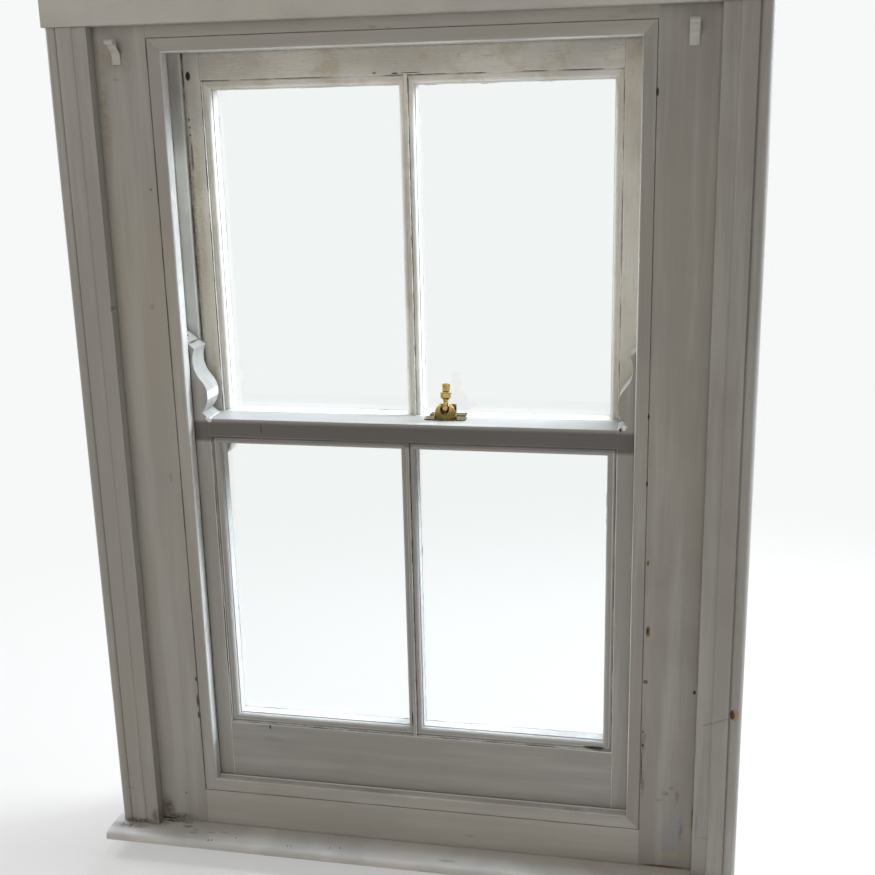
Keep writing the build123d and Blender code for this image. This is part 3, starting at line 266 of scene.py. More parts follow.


# Oil paint on softwood, brushed on in many coats and gone dull: an off-white with low brush ridges along
# the grain, faint yellow and grey patches, painted shade and dirt in the corners, open joints, painted shade
# in the quirks and gaps, painted highlights on the arrises, and chips down to the wood. Where it is worn by
# the weather it has lifted in short flakes along the grain, grey over yellow, and faces that look outwards
# are greyer, from the rain and from painted shade.
def painted_softwood(name, along, paint, age, worn=0.0, beads=0.0, lines=(), arrises=(), stains=(),
                     shift=0.0):
    material, put, place = start_material(name)
    ridges = strokes(put, place, along, 1.5 * MM, 110 * MM, shift)
    broad = strokes(put, place, along, 26 * MM, 420 * MM, shift + 3)
    patches = spread(put, place, 120 * MM, 4.0, 0.5, shift)
    tone = spread(put, place, 380 * MM, 2.0, 0.5, shift + 5)
    lumps = spread(put, place, 12 * MM, 3.0, 0.5, shift + 2)
    specks = spread(put, place, 4.5 * MM, 2.0, 0.5, shift + 7)
    hollow = put("ShaderNodeAmbientOcclusion", "AO", {"Distance": CORNER_SHADE_AND_DIRT_REACH}, samples=4)

    colour = blend_colours(put, fade(put, patches, 0.40, 0.66, 0.0, 0.40), linear(paint), linear("#9E9B95"))
    colour = blend_colours(put, fade(put, tone, 0.35, 0.65, 0.0, age), colour, linear("#B3A88E"))
    colour = blend_colours(put, fade(put, broad, 0.42, 0.70, 0.0, 0.28), colour, linear("#C4C3BF"))
    colour = blend_colours(put, fade(put, ridges, 0.40, 0.75, 0.0, 0.08), colour, linear("#86827B"))
    height = put("ShaderNodeMath", 0, {0: ridges, 1: 0.6, 2: lumps}, operation="MULTIPLY_ADD")
    if worn:
        flakes = strokes(put, warped(put, place, 5 * MM, 14 * MM), along, 2.6 * MM, 34 * MM, shift + 11)
        lifted = fade(put, flakes, 0.50, 0.58, 0.0, worn)
        edge = fade(put, flakes, 0.60, 0.66, 0.0, worn * 0.7)
        bare = fade(put, spread(put, place, 46 * MM, 4.0, 0.6, shift + 13), 0.48, 0.64, 0.0, worn)
        colour = blend_colours(put, bare, colour, linear("#BDB59D"))
        colour = blend_colours(put, lifted, colour, linear("#DCDCD8"))
        colour = blend_colours(put, edge, colour, linear("#9A968A"))
        height = put("ShaderNodeMath", 0, {0: lifted, 1: 1.2, 2: height}, operation="MULTIPLY_ADD")
    # Faces that look outwards are greyed: weathering, and painted shade that darkens them against the strong
    # daylight.
    facing = put("ShaderNodeSeparateXYZ", Y_AXIS, {0: put("ShaderNodeTexCoord", "Normal")})
    rain_grey_and_shade = times(put, fade(put, facing, 0.40, 0.75), fade(put, broad, 0.30, 0.65, 1.0, 0.85))
    colour = blend_colours(put, rain_grey_and_shade, colour, linear("#817E76"))
    # Painted shade and dirt in the corners: the colour darkens where ambient occlusion finds a corner, patchy
    # by the lumps.
    corner_shade_and_dirt = fade(put, hollow, 0.62, 0.15)
    patchy_corner_shade_and_dirt = times(put, corner_shade_and_dirt, fade(put, lumps, 0.25, 0.62, 0.35, 0.95))
    colour = blend_colours(put, patchy_corner_shade_and_dirt, colour, linear("#5C564D"))
    colour = blend_colours(put, fade(put, specks, 0.76, 0.82, 0.0, 0.5), colour, linear("#6B6254"))
    # Painted highlights: pale lines on the staff beads' inner edges and on the sash mouldings' arrises.
    painted_highlights = [bead_line(put, place, BEAD_WIDTH - 0.6 * MM, 0.9 * MM, 0.6 * MM)] if beads else []
    painted_highlights += [seams(put, place, arrises, 0.5 * MM)] if arrises else []
    if painted_highlights:
        highlight_share = times(put, most(put, painted_highlights), fade(put, patches, 0.3, 0.6, 0.75, 0.35))
        colour = blend_colours(put, highlight_share, colour, linear("#EDECE8"))
    # Dark lines: real cracks along the staff beads and real joints, and painted shade in the moulding quirks
    # and in the gap beside the staff beads.
    cracks_and_shade_lines = [times(put, bead_line(put, place, 0.0, 1.2 * MM, 1.8 * MM), beads)] if beads else []
    cracks_and_shade_lines += [seams(put, place, lines)] if lines else []
    if cracks_and_shade_lines:
        broken = fade(put, spread(put, place, 45 * MM, 3.0, 0.6, shift), 0.38, 0.60, 0.25, 1.0)
        cracked_and_shaded = times(put, most(put, cracks_and_shade_lines), broken)
        colour = blend_colours(put, cracked_and_shaded, colour, linear("#3F3A32"))
        height = put("ShaderNodeMath", 0, {0: cracked_and_shaded, 1: -1.5, 2: height}, operation="MULTIPLY_ADD")
    for tint, share, depth, rag, marks in stains:
        marked = times(put, spots(put, place, marks, rag), share)
        colour = blend_colours(put, marked, colour, linear(tint))
        height = put("ShaderNodeMath", 0, {0: marked, 1: depth, 2: height}, operation="MULTIPLY_ADD")
    soft = put("ShaderNodeBevel", 0, {"Radius": SOFT_EDGE}, samples=2)
    bump = put("ShaderNodeBump", 0, {"Strength": 0.4, "Distance": 0.5 * MM, "Height": height, "Normal": soft})
    shader = put("ShaderNodeBsdfPrincipled", 0, {
        "Base Color": colour, "Roughness": fade(put, patches, 0.3, 0.7, 0.38, 0.56), "IOR": 1.48,
        "Normal": bump,
    })
    return close(material, shader)


# Drawn soda-lime glass: clear, faintly green at its edges, with slow waves that bend what lies behind.
# Lamps pass straight through it, as daylight does.
def drawn_glass():
    material, put, place = start_material("drawn_glass")
    waves = strokes(put, place, X_AXIS, 70 * MM, 210 * MM)
    bump = put("ShaderNodeBump", 0, {"Strength": 0.05, "Distance": 1.0 * MM, "Height": waves})
    glass = put("ShaderNodeBsdfPrincipled", 0, {
        "Base Color": linear("#F8FBFA"), "Roughness": 0.0, "IOR": 1.51, "Transmission Weight": 1.0,
        "Normal": bump,
    })
    clear = put("ShaderNodeBsdfTransparent", 0, {"Color": linear("#F8FBFA")})
    lamp = put("ShaderNodeLightPath", "Is Shadow Ray")
    return close(material, put("ShaderNodeMixShader", 0, {0: lamp, 1: glass, 2: clear}))


# Linseed putty, knifed and painted over, dried hard: chalky, with fine shrinkage cracks.
def linseed_putty():
    material, put, place = start_material("linseed_putty")
    grain = spread(put, place, 6 * MM, 4.0)
    split = put("ShaderNodeTexVoronoi", 0, {
        "Vector": warped(put, place, 3 * MM, 8 * MM), "Scale": 1 / (17 * MM),
    }, feature="DISTANCE_TO_EDGE")
    split_line = fade(put, split, 0.020, 0.004, 0.0, 0.7)
    colour = blend_colours(put, fade(put, grain, 0.35, 0.7), linear("#8F8B82"), linear("#A09A8E"))
    colour = blend_colours(put, split_line, colour, linear("#6F685C"))
    height = put("ShaderNodeMath", 0, {0: split_line, 1: -1.0, 2: grain}, operation="MULTIPLY_ADD")
    bump = put("ShaderNodeBump", 0, {"Strength": 0.6, "Distance": 0.5 * MM, "Height": height})
    shader = put("ShaderNodeBsdfPrincipled", 0, {"Base Color": colour, "Roughness": 0.78, "Normal": bump})
    return close(material, shader)


# Bare Scots pine inside the boxes, sawn and planed, never painted: yellow-brown with darker late wood.
def bare_pine(name, along):
    material, put, place = start_material(name)
    stretch = [1 / (16 * MM)] * 3
    stretch[along] = 1 / (600 * MM)
    wavy = warped(put, put("ShaderNodeMapping", 0, {"Vector": place, "Scale": stretch}), 1.6, 1.3)
    rings = put("ShaderNodeTexWave", 1, {"Vector": wavy, "Scale": 0.75, "Distortion": 1.2, "Detail": 2.0},
                wave_type="RINGS", rings_direction="XYZ"[along])
    fibres = strokes(put, place, along, 0.9 * MM, 60 * MM)
    dust = spread(put, place, 60 * MM, 4.0)
    colour = blend_colours(put, rings, linear("#B99C74"), linear("#94744C"))
    colour = blend_colours(put, fade(put, fibres, 0.4, 0.7, 0.0, 0.4), colour, linear("#7B5B36"))
    colour = blend_colours(put, fade(put, dust, 0.4, 0.7, 0.0, 0.5), colour, linear("#8E8471"))
    bump = put("ShaderNodeBump", 0, {"Strength": 0.4, "Distance": 0.3 * MM, "Height": fibres})
    shader = put("ShaderNodeBsdfPrincipled", 0, {"Base Color": colour, "Roughness": 0.72, "Normal": bump})
    return close(material, shader)


# Cast brass, polished once and handled since: bright where fingers turn it, brown and dull in the hollows,
# and darker low on the cheeks, as tarnish and as painted dark reflection.
def worn_brass():
    material, put, place = start_material("worn_brass")
    tarnish = spread(put, place, 7 * MM, 5.0, 0.65)
    fine = spread(put, place, 0.9 * MM, 3.0)
    hollow = put("ShaderNodeAmbientOcclusion", "AO", {"Distance": 6 * MM}, samples=4)
    deep = fade(put, hollow, 0.85, 0.35)
    # Darker low down: tarnish where no finger rubs, and painted dark reflection of the room.
    level = put("ShaderNodeSeparateXYZ", Z_AXIS, {0: warped(put, place, 8 * MM, 9 * MM)})
    low_tarnish_and_reflection = fade(put, level, MEETING_TOP + 23 * MM, MEETING_TOP + 8 * MM, 0.0, 0.8)
    tarnish_and_reflection = most(put, [fade(put, tarnish, 0.46, 0.70, 0.0, 0.6), deep, low_tarnish_and_reflection])
    colour = blend_colours(put, tarnish_and_reflection, linear("#C6AB68"), linear("#473C1C"))
    bump = put("ShaderNodeBump", 0, {"Strength": 0.2, "Distance": 0.15 * MM, "Height": fine})
    shader = put("ShaderNodeBsdfPrincipled", 0, {
        "Base Color": colour, "Metallic": 1.0, "Roughness": fade(put, tarnish, 0.3, 0.75, 0.14, 0.42),
        "Normal": bump,
    })
    return close(material, shader)


# Grey cast iron from a sand mould: dark, pitted, with light rust.
def cast_iron():
    material, put, place = start_material("cast_iron")
    pits = spread(put, place, 2.2 * MM, 4.0, 0.6)
    rust = spread(put, place, 24 * MM, 5.0, 0.65)
    share = fade(put, rust, 0.46, 0.64, 0.0, 0.85)
    colour = blend_colours(put, share, linear("#4B4846"), linear("#6F4630"))
    bump = put("ShaderNodeBump", 0, {"Strength": 0.6, "Distance": 0.4 * MM, "Height": pits})
    shader = put("ShaderNodeBsdfPrincipled", 0, {
        "Base Color": colour, "Metallic": fade(put, rust, 0.46, 0.64, 0.85, 0.0),
        "Roughness": fade(put, rust, 0.4, 0.65, 0.5, 0.85), "Normal": bump,
    })
    return close(material, shader)


# Bright mild steel, turned: fine rings round the axle and a grey sheen.
def turned_steel():
    material, put, place = start_material("turned_steel")
    rings = strokes(put, place, X_AXIS, 0.4 * MM, 40 * MM)
    stain = spread(put, place, 5 * MM, 3.0)
    colour = blend_colours(put, fade(put, stain, 0.5, 0.7), linear("#A9A7A3"), linear("#7E6A58"))
    bump = put("ShaderNodeBump", 0, {"Strength": 0.15, "Distance": 0.1 * MM, "Height": rings})
    shader = put("ShaderNodeBsdfPrincipled", 0, {
        "Base Color": colour, "Metallic": 1.0, "Roughness": fade(put, stain, 0.4, 0.7, 0.3, 0.5),
        "Normal": bump,
    })
    return close(material, shader)


# Braided cotton sash line, waxed and grey with age: dull, fibrous, with painted shade between its strands.
def cotton_line():
    material, put, place = start_material("cotton_line")
    fibres = strokes(put, place, Z_AXIS, 0.5 * MM, 4 * MM)
    soil = spread(put, place, 40 * MM, 4.0)
    hollow = put("ShaderNodeAmbientOcclusion", "AO", {"Distance": 1.5 * MM}, samples=6)
    colour = blend_colours(put, fade(put, soil, 0.35, 0.7), linear("#C9BFA8"), linear("#958A73"))
    # Painted shade between the strands, where ambient occlusion finds them.
    colour = blend_colours(put, fade(put, hollow, 0.8, 0.3, 0.0, 0.8), colour, linear("#5B513F"))
    bump = put("ShaderNodeBump", 0, {"Strength": 0.5, "Distance": 0.2 * MM, "Height": fibres})
    shader = put("ShaderNodeBsdfPrincipled", 0, {
        "Base Color": colour, "Roughness": 0.92, "Sheen Weight": 0.25, "Normal": bump,
    })
    return close(material, shader)


def surface(name, grids, material, angle=32):
    """One piece from grids of points (rows, columns, 3), each closed round its columns.
    Equal points are merged, which closes seams and poles, and faces are turned outwards."""
    points, faces, start = [], [], 0
    for grid in grids:
        rows, columns = grid.shape[:2]
        index = start + np.arange(rows * columns).reshape(rows, columns)
        after = np.roll(index, -1, axis=1)
        quads = np.stack([index[:-1], after[:-1], after[1:], index[1:]], axis=-1)
        points.append(grid.reshape(-1, 3))
        faces.append(quads.reshape(-1, 4))
        start += rows * columns
    mesh = bpy.data.meshes.new(name)
    mesh.from_pydata(np.concatenate(points).tolist(), [], np.concatenate(faces).tolist())
    work = bmesh.new()
    work.from_mesh(mesh)
    bmesh.ops.remove_doubles(work, verts=work.verts, dist=1e-7)
    bmesh.ops.recalc_face_normals(work, faces=work.faces)
    work.to_mesh(mesh)
    work.free()
    mesh.shade_smooth()
    mesh.set_sharp_from_angle(angle=radians(angle))
    mesh.materials.append(material)
    piece = bpy.data.objects.new(name, mesh)
    bpy.context.scene.collection.objects.link(piece)
    return piece


def braided(path):
    """A cord along a path in one X-Z plane.
    Its radius swells where either of two sets of strands, wound opposite ways, comes to the surface."""
    steps = np.linalg.norm(np.diff(path, axis=0), axis=1)
    run = np.concatenate([[0], np.cumsum(steps)])[:, None]
    forward = np.gradient(path, axis=0)
    forward /= np.linalg.norm(forward, axis=1)[:, None]
    across = np.cross(forward, (0, 1, 0))[:, None]
    turn = np.linspace(0, 2 * pi, CORD_SIDES, endpoint=False)[None]
    wind = 2 * pi * run / BRAID_PITCH
    one_way = np.abs(np.sin(BRAID_STRANDS * turn + wind))
    other_way = np.abs(np.sin(BRAID_STRANDS * turn - wind))
    radius = CORD_RADIUS * (1 - BRAID_DEPTH + BRAID_DEPTH * np.maximum(one_way, other_way))
    radius[[0, -1]] = 0
    level = np.array((0, 1, 0))
    ring = np.cos(turn)[..., None] * across + np.sin(turn)[..., None] * level
    return path[:, None] + radius[..., None] * ring


def straight(start, end):
    """Evenly spaced points from start to end, about one cord step apart."""
    start, end = np.array(start), np.array(end)
    count = max(3, int(np.linalg.norm(end - start) / CORD_STEP))
    return start + (end - start) * np.linspace(0, 1, count)[:, None]


def arc(centre, radius, first, last):
    """Points of a circle in an X-Z plane, from one angle to another."""
    count = max(6, int(abs(last - first) * radius / CORD_STEP))
    angle = np.linspace(first, last, count)
    return np.stack([
        centre[0] + radius * np.cos(angle), np.full(count, centre[1]), centre[2] + radius * np.sin(angle),
    ], axis=1)


def make_cord(which, side, material):
    """One sash line: out of the sash and up its groove, over the wheel, and down to the weight."""
    sign = SIDES[side]
    low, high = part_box(f"pulley_wheel_{which}_{side}")
    wheel = (low + high) / 2
    weight_low, weight_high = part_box(f"weight_{which}_{side}")
    weight_x = abs(weight_low.x + weight_high.x) / 2
    wheel_x = abs(wheel.x)
    cord_x = 2 * wheel_x - weight_x
    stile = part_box(f"{which}_stile_{side}")
    edge = max(abs(stile[0].x), abs(stile[1].x))
    knot_z = stile[1].z - KNOT_DROP[which]
    y = wheel.y
    bend = (cord_x - CORD_BEND, y, knot_z + CORD_BEND)
    up = np.concatenate([
        straight((edge - KNOT_REACH, y, knot_z), (bend[0], y, knot_z))[:-1],
        arc(bend, CORD_BEND, -pi / 2, 0)[:-1],
        straight((cord_x, y, bend[2]), (cord_x, y, wheel.z)),
    ])
    over = arc((wheel_x, y, wheel.z), wheel_x - cord_x, pi, 0)
    down = straight((weight_x, y, wheel.z), (weight_x, y, weight_high.z - CORD_IN_WEIGHT))
    pieces = []
    for part, path in (("run", up), ("bend", over), ("drop", down)):
        path = path * (sign, 1, 1)
        piece = surface(f"sash_line_{which}_{side}_{part}", [braided(path)], material, 60)
        pieces.append(piece)
    run, over_wheel, drop = pieces
    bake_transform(run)
    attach(over_wheel, "frame")
    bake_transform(drop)
    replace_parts(run, f"cord_{which}_{side}")


def lathe(outline, segments, swell=None):
    """A turned surface: each point (radius, height) of the outline goes round the Z axis.
    Swell, a function of height and angle, adds to the radius of points off the axis."""
    outline = np.array(outline) * MM
    turn = np.linspace(0, 2 * pi, segments, endpoint=False)[None]
    radius = np.repeat(outline[:, :1], segments, axis=1)
    height = np.repeat(outline[:, 1:], segments, axis=1)
    if swell is not None:
        radius = np.where(radius > 0, radius + swell(height, turn), 0)
    return np.stack([radius * np.cos(turn), radius * np.sin(turn), height], axis=-1)


def lean(points):
    """Carries points of an upright piece to the arm: turned outwards about the pivot, and placed there."""
    c, s = cos(ARM_LEAN), sin(ARM_LEAN)
    turn = np.array([[1, 0, 0], [0, c, s], [0, -s, c]])
    return points @ turn.T + np.array(PIVOT)


def dense(outline, step):
    """The outline with points added on its long straight runs."""
    result = [outline[0]]
    for first, last in zip(outline[:-1], outline[1:]):
        length = ((last[0] - first[0]) ** 2 + (last[1] - first[1]) ** 2) ** 0.5
        count = max(1, round(length / step))
        result += [
            (first[0] + (last[0] - first[0]) * i / count, first[1] + (last[1] - first[1]) * i / count)
            for i in range(1, count + 1)
        ]
    return result


def make_nut(material):
    """Turned thumb nut: cone, cup, milled rim, neck and a milled knob, bored from below.
    The milling is a swell of small ridges, a cosine of the angle, on the rim and the knob only."""
    outline = dense([
        (0, 26.0), (4.7, 26.0), (5.6, 25.75), (6.05, 25.2), (6.2, 24.5), (5.62, 14.3), (5.3, 13.9),
        (4.7, 13.7), (4.5, 13.1), (4.7, 12.4), (8.35, 12.2), (8.62, 11.95), (8.7, 11.5), (8.62, 11.05),
        (8.3, 10.8), (8.0, 10.6), (8.0, 5.3), (7.75, 4.7), (6.5, 3.3), (4.7, 2.0), (4.4, 1.6),
        (4.4, 0.25), (4.15, 0), (3.3, 0), (3.3, 22.5), (0, 22.5),
    ], 0.8)

    def milling(height, turn):
        knob = np.clip((height - 15 * MM) / MM, 0, 1) * np.clip((24.6 * MM - height) / MM, 0, 1)
        rim = np.clip(1 - np.abs(height - 11.5 * MM) / (0.5 * MM), 0, 1)
        return -0.16 * MM * (knob * (0.5 + 0.5 * np.cos(36 * turn)) + rim * (0.5 + 0.5 * np.cos(48 * turn)))

    points = lathe(outline, 192, milling)
    points[len(outline) - 2:, :, :2] = lathe(outline, 192)[len(outline) - 2:, :, :2]
    points[..., 2] += NUT_START
    nut = surface("thumb_nut", [lean(points)], material, 28)
    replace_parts(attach(nut, "nut"), "fastener_nut")


def make_thread(material):
    """The arm's screwed end: a rod whose radius rises and falls with height less one pitch a turn."""
    pitch = 0.9

    def helix(height, turn):
        phase = (height / (pitch * MM) - turn / (2 * pi)) % 1
        return 0.22 * MM * (1 - np.abs(2 * phase - 1))

    heights = np.arange(10.2, 31.9, pitch / 8)
    outline = [(0, heights[0])] + [(2.98, h) for h in heights] + [(0, heights[-1])]
    thread = surface("arm_thread", [lean(lathe(outline, 48, helix))], material, 40)
    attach(thread, "arm")


def make_screws(name, y, node, body, material):
    """Two countersunk screws with domed, slotted heads.
    The head's top is a square grid bent to a disc, and drops where it lies within the slot."""
    slot_edges = [end * SLOT_HALF + shift for end in (-1, 1) for shift in (-0.001, 0.001)]
    side = np.sort(np.concatenate([np.linspace(-1, 1, 33), slot_edges]))
    u, v = np.meshgrid(side, side)
    disc_x = u * np.sqrt(1 - v ** 2 / 2)
    disc_y = v * np.sqrt(1 - u ** 2 / 2)
    rim = np.clip(1 - disc_x ** 2 - disc_y ** 2, 0, 1)
    top = HEAD_DOME * rim - SLOT_DEPTH * (np.abs(v) < SLOT_HALF) * (rim > 0.02)
    head = np.stack([disc_x * HEAD_RADIUS, disc_y * HEAD_RADIUS, top], axis=-1) * MM
    shank = lathe([(0, -0.02), (HEAD_RADIUS, 0), (2.0, -2.2), (1.9, -13.2), (0, -13.8)], 40)
    grids = []
    for i, end in enumerate((-1, 1)):
        angle = 0.5 + 1.1 * i
        turn = np.array([[cos(angle), -sin(angle), 0], [sin(angle), cos(angle), 0], [0, 0, 1]])
        place = np.array((PIVOT.x + end * SCREW_PITCH / 2, y, PLATE_TOP))
        grids.append((head @ turn.T + place, False))
        grids.append((shank @ turn.T + place, True))
    screws = open_surface(name, grids, material)
    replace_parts(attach(screws, body), node)


def open_surface(name, grids, material):
    """As surface, for grids that close round their columns only where said."""
    closed = []
    for grid, is_round in grids:
        if is_round:
            closed.append(grid)
        else:
            back = grid[:, ::-1].copy()
            inside = (slice(1, -1), slice(1, -1))
            back[inside] -= (0, 0, 0.6 * MM)
            closed.append(np.concatenate([grid, back[:, 1:-1]], axis=1))
    return surface(name, closed, material, 30)


def ripple(share, seed, count=260):
    """A closed ragged curve from 0 to 1 round a frame: many sines of whole numbers of waves."""
    dice = np.random.default_rng(seed)
    waves = np.arange(2, 2 + count)[:, None]
    phase = dice.uniform(0, 2 * pi, (count, 1))
    size = dice.uniform(0.2, 1, (count, 1)) / waves ** 0.55
    total = (size * np.sin(2 * pi * waves * share[None] + phase)).sum(axis=0)
    return np.clip(0.5 + total / (4.4 * total.std()), 0, 1)


def make_paint_edge(name, body, x0, x1, z0, z1, y, material, seed):
    """Paint strayed onto the glass: a thin closed film round one pane.
    Its outer line is the pane's sight rectangle, and its inner line the same, moved in by a ragged width."""
    perimeter = 2 * (x1 - x0 + z1 - z0)
    count = int(perimeter / (1.2 * MM))
    share = np.arange(count) / count
    along = share * perimeter
    corners = np.cumsum([0, x1 - x0, z1 - z0, x1 - x0, z1 - z0])
    outer = np.stack([
        np.interp(along, corners, [x0, x1, x1, x0, x0]), np.interp(along, corners, [z0, z0, z1, z1, z0]),
    ], axis=1)
    width = (STRAY_LEAST + STRAY_MOST * ripple(share, seed) ** 3.2)[:, None] * MM
    low, high = np.array((x0, z0)), np.array((x1, z1))
    ring = []
    for reach, lift in ((0.0, 0.02), (0.0, 0.45), (0.45, 0.30), (0.9, 0.12), (1.0, 0.03), (1.0, 0.02)):
        inner = np.clip(outer, low + width * reach, high - width * reach)
        level = np.full((count, 1), y - lift * MM)
        ring.append(np.concatenate([inner[:, :1], level, inner[:, 1:]], axis=1))
    ring.append(ring[0])
    film = surface(name, [np.stack(ring)], material, 60)
    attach(film, body)


def swept(path, half_width, half_depth, across):
    """A flat bar along a path in one Y-Z plane: a rounded section carried along it, closed at both ends.
    The section is a superellipse, so its long sides stay nearly flat and its edges are round."""
    forward = np.gradient(path, axis=0)
    forward /= np.linalg.norm(forward, axis=1)[:, None]
    level = np.array((1.0, 0, 0))
    outward = np.cross(forward, level)
    turn = np.linspace(0, 2 * pi, 28, endpoint=False)
    side = np.sign(np.cos(turn)) * np.abs(np.cos(turn)) ** 0.45 * half_width
    thick = np.sign(np.sin(turn)) * np.abs(np.sin(turn)) ** 0.75 * half_depth
    reach = np.clip(np.arange(len(path)), 0, 1)[:, None] * np.clip(np.arange(len(path))[::-1], 0, 1)[:, None]
    ring = side[None, :, None] * level + thick[None, :, None] * outward[:, None]
    return path[:, None] + reach[..., None] * ring + np.array((across, 0, 0))


def make_straps(material):
    """Two old straps, hooked over at the top: a path whose heading turns out, back, and right over.
    Thick paint has softened their edges, which the rounded section gives."""
    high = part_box("curtain_straps")[1]
    back = high.y - 1.2 * MM
    turns = [(9.5, 0), (12.6, 60), (12.6, -60), (15.5, 215)]
    heading = np.concatenate([
        np.full(round(length * MM / STRAP_STEP), angle / (length * MM / STRAP_STEP))
        for length, angle in turns
    ])
    angle = np.radians(np.cumsum(heading))
    steps = np.stack([np.zeros_like(angle), -np.sin(angle), np.cos(angle)], axis=1) * STRAP_STEP
    path = np.concatenate([[[0, 0, 0]], np.cumsum(steps, axis=0)])
    path += (0, back, high.z - path[:, 2].max() - 1.3 * MM)
    grids = [swept(path, *STRAP_HALF, sign * STRAP_X) for sign in SIDES.values()]
    straps = surface("curtain_straps_bent", grids, material, 50)
    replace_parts(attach(straps, "frame"), "curtain_straps")


def blob(centre, half, seed):
    """A lump of dried paint: a sphere stretched to three half sizes, its radius waved by a few sines."""
    dice = np.random.default_rng(seed)
    rows, columns = np.linspace(0, pi, 25), np.linspace(0, 2 * pi, 36, endpoint=False)
    down, turn = np.meshgrid(rows, columns, indexing="ij")
    wave = sum(
        dice.uniform(0.03, 0.10) * np.sin(k * turn + dice.uniform(0, 6)) * np.sin(down) ** 2
        for k in range(2, 6)
    )
    unit = np.stack([np.sin(down) * np.cos(turn), np.sin(down) * np.sin(turn), np.cos(down)], axis=-1)
    unit[[0, -1], :, :2] = 0
    return (np.array(centre) + (1 + wave)[..., None] * unit * np.array(half)) * MM


def make_nib(name, body, lumps, material):
    """Paint that ran and dried: a few lumps in one piece."""
    grids = [blob(centre, half, seed) for seed, (centre, half) in enumerate(lumps)]
    piece = surface(name, grids, material, 60)
    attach(piece, body)


def dress(material, *names):
    """Gives CAD nodes a finish, through their material slots."""
    for name in names:
        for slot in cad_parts[name].material_slots:
            slot.material = material


def aim(thing, place, target):
    """Puts a lamp at a place and turns it to face a target."""
    place, target = Vector(place), Vector(target)
    turn = (target - place).to_track_quat("-Z", "Y").to_matrix().to_4x4()
    thing.matrix_world = Matrix.Translation(place) @ turn


def make_lamp(name, place, target, width, height, power, tint):
    """A soft rectangular lamp, which lights the window but isn't seen, even through the glass."""
    data = bpy.data.lights.new(name, "AREA")
    data.shape = "RECTANGLE"
    data.size = width
    data.size_y = height
    data.energy = power
    data.color = linear(tint)[:3]
    lamp = bpy.data.objects.new(name, data)
    bpy.context.scene.collection.objects.link(lamp)
    lamp.visible_camera = False
    lamp.visible_transmission = False
    aim(lamp, place, target)
    return lamp


def make_camera():
    """The camera of the photograph, from its yaw, pitch and roll."""
    cy, sy = cos(CAMERA_YAW), sin(CAMERA_YAW)
    cp, sp = cos(CAMERA_PITCH), sin(CAMERA_PITCH)
    cr, sr = cos(CAMERA_ROLL), sin(CAMERA_ROLL)
    level = Vector((cy, sy, 0))
    upright = Vector((sp * sy, -sp * cy, cp))
    right = cr * level + sr * upright
    up = cr * upright - sr * level
    forward = Vector((-cp * sy, cp * cy, sp))
    data = bpy.data.cameras.new("camera")
    data.sensor_width = SENSOR
    data.lens = FOCAL_PIXELS * SENSOR / PICTURE_PIXELS
    data.clip_start = 0.05
    camera = bpy.data.objects.new("camera", data)
    bpy.context.scene.collection.objects.link(camera)
    turn = Matrix((right, up, -forward)).transposed().to_4x4()
    camera.matrix_world = Matrix.Translation(CAMERA_PLACE) @ turn
    bpy.context.scene.camera = camera


def pale_rays(put):
    """1 for the rays that show the pale surroundings: the camera's, and those in gloss and glass."""
    return most(put, [put("ShaderNodeLightPath", ray) for ray in (
        "Is Camera Ray", "Is Glossy Ray", "Is Transmission Ray",
    )])


def make_world():
    """Pale surroundings for what the camera, glass and metal see, and a softer sky for the light itself."""
    world = bpy.data.worlds.new("surroundings")
    bpy.context.scene.world = world
    world.use_nodes = True
    world.node_tree.nodes.clear()
    put = partial(add, world.node_tree)
    sky = put("ShaderNodeBackground", 0, {"Color": linear("#EDF1F6"), "Strength": SKY_LIGHT})
    pale = put("ShaderNodeBackground", 0, {"Color": linear(PALE), "Strength": 1.0})
    output = world.node_tree.nodes.new("ShaderNodeOutputWorld")
    mixed = put("ShaderNodeMixShader", 0, {0: pale_rays(put), 1: sky, 2: pale})
    world.node_tree.links.new(mixed, output.inputs["Surface"])


def make_floor():
    """A wide pale floor. It keeps the window's shadow, and further off it fades to the pale surroundings."""
    material, put, place = start_material("floor_paper")
    tone = spread(put, place, 2.5, 2.0)
    colour = blend_colours(put, tone, linear("#BDB8AF"), linear("#C2BDB4"))
    paper = put("ShaderNodeBsdfPrincipled", 0, {"Base Color": colour, "Roughness": 0.9})
    pale = put("ShaderNodeEmission", 0, {"Color": linear(PALE), "Strength": 1.0})
    away = put("ShaderNodeVectorMath", 1, {0: place}, operation="LENGTH")
    far = fade(put, away, FLOOR_KEPT, FLOOR_FADED, 0.45, 1.0)
    share = put("ShaderNodeMath", 0, {0: far, 1: pale_rays(put)}, operation="MULTIPLY")
    close(material, put("ShaderNodeMixShader", 0, {0: share, 1: paper, 2: pale}))
    mesh = bpy.data.meshes.new("floor")
    low = cad_box[0][2]
    corners = [(x * FLOOR_SPAN, y * FLOOR_SPAN, low) for x, y in ((-1, -1), (1, -1), (1, 1), (-1, 1))]
    mesh.from_pydata(corners, [], [(0, 1, 2, 3)])
    mesh.materials.append(material)
    floor = bpy.data.objects.new("floor", mesh)
    bpy.context.scene.collection.objects.link(floor)


make_camera()
make_world()
make_floor()
# Daylight comes from outside: from the right, from above and less from the left. The room gives a weak
# fill, which the panes don't mirror.
DAYLIGHT, ROOM_LIGHT = "#E8F0FF", "#FFF5EA"
make_lamp("daylight_right", (2.85, 1.25, 2.4), (0, 0, 0.8), 1.6, 1.7, 270, DAYLIGHT)
make_lamp("daylight_high", (0.3, 1.1, 3.2), (0, 0, 0.8), 1.6, 1.0, 95, DAYLIGHT)
make_lamp("daylight_left", (-2.5, 1.1, 2.3), (0, 0, 0.8), 1.5, 1.7, 75, DAYLIGHT)
make_lamp("room_fill", (-0.9, -3.0, 1.7), (0, 0, 0.7), 3.0, 2.8, 28, ROOM_LIGHT).visible_glossy = False
